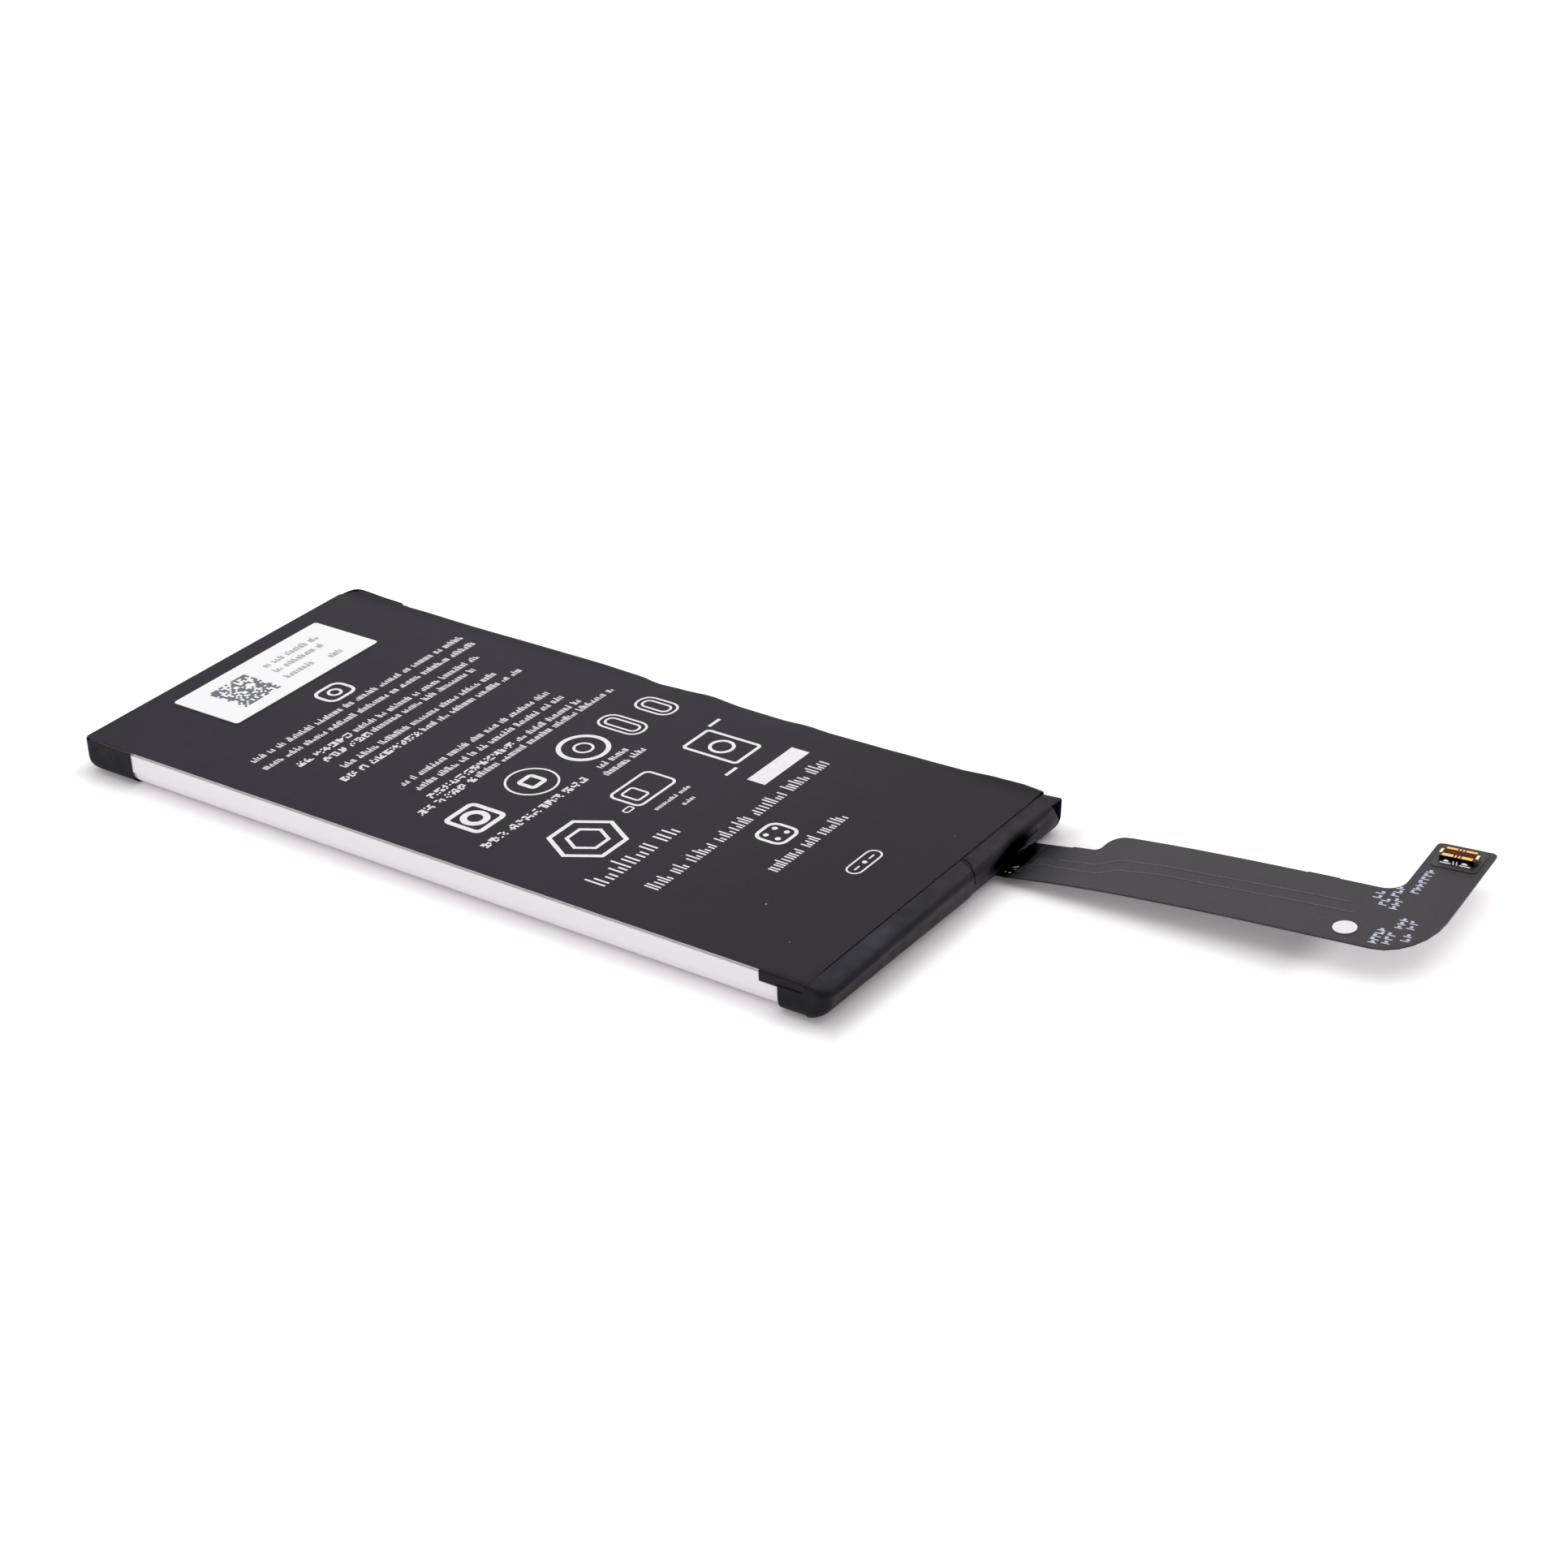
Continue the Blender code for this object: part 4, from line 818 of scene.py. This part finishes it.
for x, y, wide, high in (
    (8.0, 16.6, 0.4, 2.0),
    (16.0, 8.6, 0.4, 2.0),
    (19.6, 12.2, 2.3, 8.3),
    (38.55, -1.2, 0.2, 0.9),
    (38.55, 1.45, 0.2, 0.9),
):
    bar(bm, at(x, y), wide, high)
print_on("label_print", bm, top_z, white_ink)

# %% [markdown]
# The sticker near the tail end carries a dark chequered block and a few fainter rows. They are
# two pieces, because the block's ink is the darker one.

# %% Print on the sticker
BLOCK_CELLS = 18
BLOCK_SIDE = 5.8
BLOCK_CORNER = (-44.7, -7.4)
BLOCK_INKED = 0.54

sticker_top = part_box("code_sticker")[1].z
bm = bmesh.new()
cell = BLOCK_SIDE / BLOCK_CELLS
for i in range(BLOCK_CELLS):
    for j in range(BLOCK_CELLS):
        if picker.random() < BLOCK_INKED:
            x = BLOCK_CORNER[0] + (i + 0.5) * cell
            y = BLOCK_CORNER[1] + (j + 0.5) * cell
            bar(bm, at(x, y), cell, cell)
print_on("sticker_block", bm, sticker_top, code_ink)

bm = bmesh.new()
for x, start, end in (
    (-43.9, 1.1, 9.8),
    (-42.1, 0.9, 8.8),
    (-40.0, 0.5, 5.6),
    (-39.2, 6.9, 8.9),
):
    word_row(bm, x, start, end, 0.75, 0.14)
print_on("sticker_rows", bm, sticker_top, grey_ink)

# %% [markdown]
# ## The printed tail
# The tail rises from its slot in a soft curve. Its print, traces and scuffs follow that curve, so
# they are laid out flat first, u along the strip and v across it, and then moved onto the skin.
# This cell repeats the rise that the part has, because a box can't tell a curve.

# %% The tail's skin
FLEX_ORIGIN = Vector((48.46, 9.55, 0.0)) * MM
FLEX_TURN = math.radians(4.4)
FLEX_HALF = 0.1 * MM
SLOT_HEIGHT = 0.67
STEADY_SLOPE = 0.03
SOFT_RISE = 1.7
RISE_LENGTH = 11.0
EASE_LENGTH = 2.0


def on_tail(u, v, lift=0.0):
    """A point on the tail's skin; u, v and lift in millimetres."""
    s = (u + math.hypot(u, EASE_LENGTH)) / 2
    rise = SLOT_HEIGHT + STEADY_SLOPE * s + SOFT_RISE * (1 - math.exp(-s / RISE_LENGTH))
    place = Vector((u * MM, v * MM, (rise + lift) * MM + FLEX_HALF))
    return FLEX_ORIGIN + Matrix.Rotation(FLEX_TURN, 3, "Z") @ place


def lay_on_tail(bm, lift=0.0):
    """Moves flat (u, v) shapes onto the tail's skin."""
    for vert in bm.verts:
        vert.co = on_tail(vert.co.x / MM, vert.co.y / MM, lift + vert.co.z / MM)


print("the tail's skin ends at", [round(v / MM, 2) for v in on_tail(44.3, 21.75)])


# %% [markdown]
# Small bluish white print stands by the bend of the tail. It is made of groups of two strokes,
# one long and one short, which read as print from a step away and as plain shapes up close.


# %% Print on the tail
def small_group(bm, u, start, end, marks, high=0.85):
    """A few small marks along v."""
    width = (end - start) / marks
    for k in range(marks):
        v = start + (k + 0.5) * width
        bar(bm, at(u, v - 0.22 * width), high, 0.15)
        offset = high * picker.choice((-0.3, 0.0, 0.3))
        bar(bm, at(u + offset, v + 0.18 * width), high * 0.4, 0.3)


bm = bmesh.new()
for u, start, end, marks in (
    (36.9, 8.8, 10.5, 2),
    (37.9, 7.7, 9.3, 2),
    (39.1, 7.4, 9.7, 3),
    (38.4, 9.8, 12.0, 3),
    (39.9, 11.1, 16.2, 7),
    (39.6, 0.7, 3.8, 5),
    (40.8, 1.0, 3.4, 3),
    (40.9, 4.2, 6.4, 3),
    (42.3, 2.1, 3.8, 2),
    (42.0, 4.4, 6.3, 2),
):
    small_group(bm, u, start, end, marks)
thicken(bm)
lay_on_tail(bm, 0.003)
piece("tail_print", bm, tail_ink)


# %% [markdown]
# Copper traces lift the cover film into two faint ridges, and their threads are lighter than the cover,
# which paints a sheen on them. A thin coppery line runs along the far edges. A bump could fake the
# ridges, but a thin thread half sunk in the skin catches the light from every side. A curve with a round
# bevel makes it. It is then turned into a mesh, whose end caps are merged with the tube.


# %% Threads through points
def thread(name, paths, radius, dressed):
    """Round threads through points in metres; the radius is in millimetres."""
    curve = bpy.data.curves.new(name, "CURVE")
    curve.dimensions = "3D"
    curve.bevel_depth = radius * MM
    curve.bevel_resolution = 1
    curve.use_fill_caps = True
    for path in paths:
        line = curve.splines.new("POLY")
        line.points.add(len(path) - 1)
        for point, place in zip(line.points, path):
            point.co = (*place, 1.0)
    source = bpy.data.objects.new(name + "_path", curve)
    bpy.context.scene.collection.objects.link(source)
    bpy.context.view_layer.update()
    bm = bmesh.new()
    bm.from_mesh(source.to_mesh())
    bpy.data.objects.remove(source)
    bmesh.ops.remove_doubles(bm, verts=bm.verts, dist=SAME_POINT)
    return piece(name, bm, dressed)


def fine_lines(name, paths, radius, dressed):
    """Threads half sunk in the tail's skin, through (u, v) points."""
    laid = [[on_tail(u, v) for u, v in path] for path in paths]
    return thread(name, laid, radius, dressed)


def through(stops, step=0.5):
    """Points every step along u through (u, v) stops, eased from stop to stop."""
    points = []
    for (u0, v0), (u1, v1) in zip(stops, stops[1:]):
        count = max(int((u1 - u0) / step), 1)
        for k in range(count):
            share = k / count
            points.append((u0 + (u1 - u0) * share, v0 + (v1 - v0) * soft_step(share)))
    return points + [stops[-1]]


# %% Traces with their painted sheen, and the coppery edge line
far_trace = through([(4.6, 4.5), (8.6, 4.7), (11.0, 6.4), (16.0, 6.7)])
far_trace += through([(16.5, 6.7), (35.0, 7.2)])
near_trace = through([(4.7, 3.1), (9.2, 3.0), (11.6, 4.4), (16.0, 4.9)])
near_trace += through([(16.5, 4.9), (36.0, 5.4)])
# Painted sheen: the trace threads are lighter than the cover.
fine_lines("tail_traces", [far_trace, near_trace], 0.04, painted_sheen_and_scratch)

STRIP_EDGE = 11.0
ARM_EDGE = 38.55
ROUND = 2.0
QUARTER_STEPS = 8
fillet = []
for k in range(QUARTER_STEPS + 1):
    turn = math.radians(90 * k / QUARTER_STEPS)
    u = ARM_EDGE - ROUND + ROUND * math.sin(turn)
    v = STRIP_EDGE + ROUND - ROUND * math.cos(turn)
    fillet.append((u, v))
far_edge = through([(9.6, STRIP_EDGE), (28.7, STRIP_EDGE)], 0.8)
far_edge_end = through([(32.5, STRIP_EDGE), (36.5, STRIP_EDGE)], 0.8)
arm_end = through([(39.1, 21.75), (44.3, 21.75)], 0.8)
fine_lines("tail_edge", [far_edge, far_edge_end + fillet, arm_end], 0.03, coppery_edge_line)


# %% [markdown]
# Tape was torn off the neck of the tail. It left shiny torn bits, whose glints are painted as pale
# flecks, and fine scratches on the strip; both are short strokes like the print.


# %% Scuffs, and painted glints, where the tail was torn free
def short_strokes(name, strokes, dressed, lift=0.003):
    bm = bmesh.new()
    for u, v, long, wide, turn in strokes:
        bar(bm, at(u, v, turn), long, wide)
    thicken(bm)
    lay_on_tail(bm, lift)
    return piece(name, bm, dressed)


FLECK_LIFT = 0.09
# Torn bits whose glints are painted as pale flecks.
flecks = [
    (1.05, 1.85, 0.75, 0.2, 38),
    (1.2, 1.4, 0.45, 0.07, 15),
    (1.04, 0.62, 0.28, 0.18, 30),
    (0.52, 0.68, 0.22, 0.12, 0),
]
short_strokes("torn_fleck_glints", flecks, pale_fleck_glint, FLECK_LIFT)
scratches = [
    (2.9, 4.28, 1.6, 0.05, 22),
    (3.3, 3.95, 1.9, 0.035, 9),
    (3.7, 3.28, 1.5, 0.05, -7),
    (2.7, 2.9, 1.6, 0.05, 10),
    (3.0, 3.6, 1.2, 0.03, 4),
    (2.4, 2.3, 1.0, 0.035, 3),
]
short_strokes("tail_scratches", scratches, painted_sheen_and_scratch)

# %% [markdown]
# The plug keeps its solid contacts. On the real one only two bright rails catch the light. Two dark
# sheets of painted shade narrow the contacts to those rails: one lies between the rails, the other
# stands against the near wall, and domes of solder, painted near white to gleam, sit at its foot.

# %% Painted shade and solder on the plug
PLUG_AT = (41.64, 19.15)
RAIL_TOP = 0.77
WALL_AT = 18.235

# Painted shade between the rails.
bm = bmesh.new()
rounded_bar(bm, at(PLUG_AT[0], PLUG_AT[1] + 0.07), 3.3, 0.84, 0.12)
thicken(bm)
lay_on_tail(bm, RAIL_TOP)
piece("rail_shade", bm, rail_shade)

# Painted shade against the near wall.
bm = bmesh.new()
rounded_bar(bm, at(PLUG_AT[0], 0.37), 3.5, 0.66, 0.1)
thicken(bm)
for vert in bm.verts:
    vert.co = on_tail(vert.co.x / MM, WALL_AT - vert.co.z / MM, vert.co.y / MM)
piece("wall_shade", bm, painted_shade_black)

bm = bmesh.new()
for u, wide in ((40.6, 0.34), (41.36, 0.09), (41.7, 0.09), (42.5, 0.38)):
    size = Matrix.Diagonal((wide * MM, 0.14 * MM, 0.29 * MM, 1))
    foot = Matrix.Translation(on_tail(u, WALL_AT - 0.06, 0.06))
    seat = foot @ Matrix.Rotation(FLEX_TURN, 4, "Z")
    bmesh.ops.create_uvsphere(bm, u_segments=16, v_segments=10, radius=1.0, matrix=seat @ size)
piece("solder_domes", bm, solder_painted_gleam)

# %% [markdown]
# The lip over the slot is a torn edge of tape, and the thin line of light on its rim is a painted
# highlight: a lighter thread along the rim. The rim is found on the CAD mesh itself: in each slice
# across the pack it is the point that stands out furthest and lowest.

# %% The painted highlight on the lip's torn edge
SLICE = 0.3 * MM
TORN_DEPTH = 0.05 * MM
TORN_LENGTH = 0.5 * MM
FIRST_TORN = 3

lip = copy_of("slot_lip")
columns = {}
for vert in lip.verts:
    columns.setdefault(round(vert.co.y / SLICE), []).append(vert.co.copy())
lip.free()
torn = [max(places, key=lambda place: place.x - place.z) for _, places in sorted(columns.items())]
for place in torn:
    place.z += TORN_DEPTH * noise.noise(place / TORN_LENGTH)
# Painted highlight: a lighter thread along the lip's rim.
thread("lip_rim_painted_highlight", [torn[FIRST_TORN:]], 0.025, painted_sheen_and_scratch)

# %% [markdown]
# The outer turn of tape ends in a thin step, whose shadow line is painted as a dark thread running over
# the strip and down the head face.
# A few specks of dust lie on the film.

# %% The painted shadow line at the tape's end, and dust
SHADOW_LINE_STOPS = (
    (46.6, 5.8, 4.06),
    (47.2, 5.75, 4.06),
    (47.8, 5.4, 4.06),
    (48.4, 4.7, 4.0),
    (48.9, 4.3, 3.85),
    (49.3, 3.9, 3.5),
    (49.4, 3.6, 3.1),
)
# A painted shadow line along the end of the tape's outer turn.
thread("tape_end_shadow_line", [[Vector(stop) * MM for stop in SHADOW_LINE_STOPS]], 0.05, painted_shade_black)

bm = bmesh.new()
for x, y, radius in (
    (34.77, -11.63, 0.13),
    (40.8, -16.25, 0.07),
    (22.0, -8.4, 0.05),
    (43.5, 9.3, 0.05),
):
    disc(bm, at(x, y), radius, sides=10)
print_on("dust", bm, top_z, grey_ink)

# %% [markdown]
# ## Camera, floor and light
# The camera stands where the photographer's stood: a long lens, a little rolled. Aiming it with a
# constraint would lose the roll, so its matrix is built from what is right, up and back for it.

# %% Camera
CAMERA_AT = Vector((196.384, -230.029, 168.114)) * MM
CAMERA_RIGHT = Vector((0.819949, 0.571269, -0.036537))
CAMERA_FORWARD = Vector((-0.514417, 0.707341, -0.484813))

camera_data = bpy.data.cameras.new("camera")
camera_data.sensor_width = 36.0
camera_data.lens = 74.005
camera_data.clip_start = 0.01
camera_data.clip_end = 50.0
camera = bpy.data.objects.new("camera", camera_data)
forward = CAMERA_FORWARD.normalized()
right = CAMERA_RIGHT.normalized()
right = (right - forward * right.dot(forward)).normalized()
up = right.cross(forward)
turned = Matrix((right, up, -forward)).transposed().to_4x4()
camera.matrix_world = Matrix.Translation(CAMERA_AT) @ turned
bpy.context.scene.collection.objects.link(camera)
bpy.context.scene.camera = camera
print("camera", [round(v / MM, 1) for v in camera.location])


# %% [markdown]
# The table is white paper. More light would wash out the part, so the paper glows a little instead, only
# where the camera or a reflection looks at it. Away from the part it then reads as pure white. Close to
# the part the glow fades, which paints a darker shadow round the pack and under the tail, on top of the
# soft shadow that the lamps cast.


# %% Floor
FLOOR_GAP = 0.02 * MM
FLOOR_REACH = 3.0


def add_floor():
    bm = bmesh.new()
    bmesh.ops.create_grid(bm, x_segments=1, y_segments=1, size=FLOOR_REACH)
    bmesh.ops.translate(bm, vec=(0, 0, cad_low.z - FLOOR_GAP), verts=bm.verts)
    mesh = bpy.data.meshes.new("floor")
    bm.to_mesh(mesh)
    bm.free()
    made = bpy.data.objects.new("floor", mesh)
    bpy.context.scene.collection.objects.link(made)
    return made


# %% Where the glow fades: a painted shadow
def beside(made, centre, half, reach, least):
    """Runs from least at a rectangle's edge to 1 at reach from it, in millimetres."""
    tree = made.node_tree
    place = tree.nodes.new("ShaderNodeTexCoord")
    step = tree.nodes.new("ShaderNodeVectorMath")
    step.operation = "SUBTRACT"
    step.inputs[1].default_value = (centre[0] * MM, centre[1] * MM, 0)
    size = tree.nodes.new("ShaderNodeVectorMath")
    size.operation = "ABSOLUTE"
    over = tree.nodes.new("ShaderNodeVectorMath")
    over.operation = "SUBTRACT"
    over.inputs[1].default_value = (half[0] * MM, half[1] * MM, 0)
    split = tree.nodes.new("ShaderNodeSeparateXYZ")
    larger = tree.nodes.new("ShaderNodeMath")
    larger.operation = "MAXIMUM"
    share = tree.nodes.new("ShaderNodeMapRange")
    share.interpolation_type = "SMOOTHSTEP"
    share.inputs["From Max"].default_value = reach * MM
    share.inputs["To Min"].default_value = least
    tree.links.new(place.outputs["Object"], step.inputs[0])
    tree.links.new(step.outputs["Vector"], size.inputs[0])
    tree.links.new(size.outputs["Vector"], over.inputs[0])
    tree.links.new(over.outputs["Vector"], split.inputs["Vector"])
    tree.links.new(split.outputs["X"], larger.inputs[0])
    tree.links.new(split.outputs["Y"], larger.inputs[1])
    tree.links.new(larger.outputs["Value"], share.inputs["Value"])
    return share.outputs["Result"]


# %% The glow
def combine(tree, operation, first, second):
    """A Math node over two values, each a socket or a number."""
    node = tree.nodes.new("ShaderNodeMath")
    node.operation = operation
    for source, target in zip((first, second), node.inputs):
        if isinstance(source, float):
            target.default_value = source
        else:
            tree.links.new(source, target)
    return node.outputs["Value"]


def white_where_seen(made, colour, glow, fades):
    """Adds light that only the camera and reflections see, less where the fades are below 1."""
    tree = made.node_tree
    shader = tree.nodes["Principled BSDF"]
    path = tree.nodes.new("ShaderNodeLightPath").outputs
    mirrored = combine(tree, "MAXIMUM", path["Is Glossy Ray"], path["Is Transmission Ray"])
    seen = combine(tree, "MAXIMUM", path["Is Camera Ray"], mirrored)
    level = combine(tree, "MULTIPLY", seen, glow)
    for source in fades:
        level = combine(tree, "MULTIPLY", level, source)
    tree.links.new(level, shader.inputs["Emission Strength"])
    shader.inputs["Emission Color"].default_value = (*colour, 1.0)


# %% [markdown]
# The paper's own colour is a little warm, which shows only in the shadow. The glow is tuned to
# it: lit paper and glow together just reach white.

# %% The white table
GLOW = 0.43
GLOW_COLOUR = (1.0, 0.985, 1.0)

floor = add_floor()
table_white = finish("table_white", (0.89, 0.845, 0.865), 0.9, specular=0.1)
# Painted shadow: the glow fades round the pack and under the tail.
pack_painted_shadow = beside(table_white, (0, 0), (49, 21.5), 4, 0.26)
tail_painted_shadow = beside(table_white, (64, 15), (15, 4), 5, 0.37)
white_where_seen(table_white, GLOW_COLOUR, GLOW, (pack_painted_shadow, tail_painted_shadow))
floor.data.materials.append(table_white)
print("floor at", round((cad_low.z - FLOOR_GAP) / MM, 3), "mm")

# %% [markdown]
# The light is a white tent: an even world, one large soft panel overhead, a weaker one at the
# back left, which gives the far rounded edge its sheen, and a low one in front of the foil. The
# world is brighter to the camera than to the part, which keeps the background white.

# %% World
WORLD_LIGHT = 0.55

world = bpy.data.worlds.new("studio")
bpy.context.scene.world = world
world.use_nodes = True
tree = world.node_tree
background = tree.nodes["Background"]
background.inputs["Color"].default_value = (1.0, 1.0, 1.0, 1.0)
path = tree.nodes.new("ShaderNodeLightPath")
level = tree.nodes.new("ShaderNodeMapRange")
level.inputs["To Min"].default_value = WORLD_LIGHT
level.inputs["To Max"].default_value = 1.0
tree.links.new(path.outputs["Is Camera Ray"], level.inputs["Value"])
tree.links.new(level.outputs["Result"], background.inputs["Strength"])
print("world light", WORLD_LIGHT)


# %% Lamps
def soft_panel(name, place, aim, size, power):
    """An area lamp; place, aim and size in metres, power in watts."""
    data = bpy.data.lights.new(name, "AREA")
    data.shape = "RECTANGLE"
    data.size, data.size_y = size
    data.energy = power
    lamp = bpy.data.objects.new(name, data)
    lamp.location = place
    lamp.rotation_euler = (Vector(aim) - Vector(place)).to_track_quat("-Z", "Y").to_euler()
    bpy.context.scene.collection.objects.link(lamp)
    return lamp


soft_panel("overhead_panel", (0.05, 0.10, 0.55), (0.02, 0.0, 0.0), (0.7, 0.7), 1.6)
soft_panel("back_panel", (-0.35, 0.55, 0.30), (0.0, 0.0, 0.0), (0.5, 0.4), 0.6)
soft_panel("near_side_panel", (-0.15, -0.55, 0.10), (0.0, 0.0, 0.0), (0.5, 0.16), 0.65)
print("lit by", len(bpy.data.lights), "panels and the world")

# %% [markdown]
# ## Finish
# The colours are written to be seen as they are, so the view transform is Standard.

# %% Close the scene
bpy.context.scene.view_settings.view_transform = "Standard"
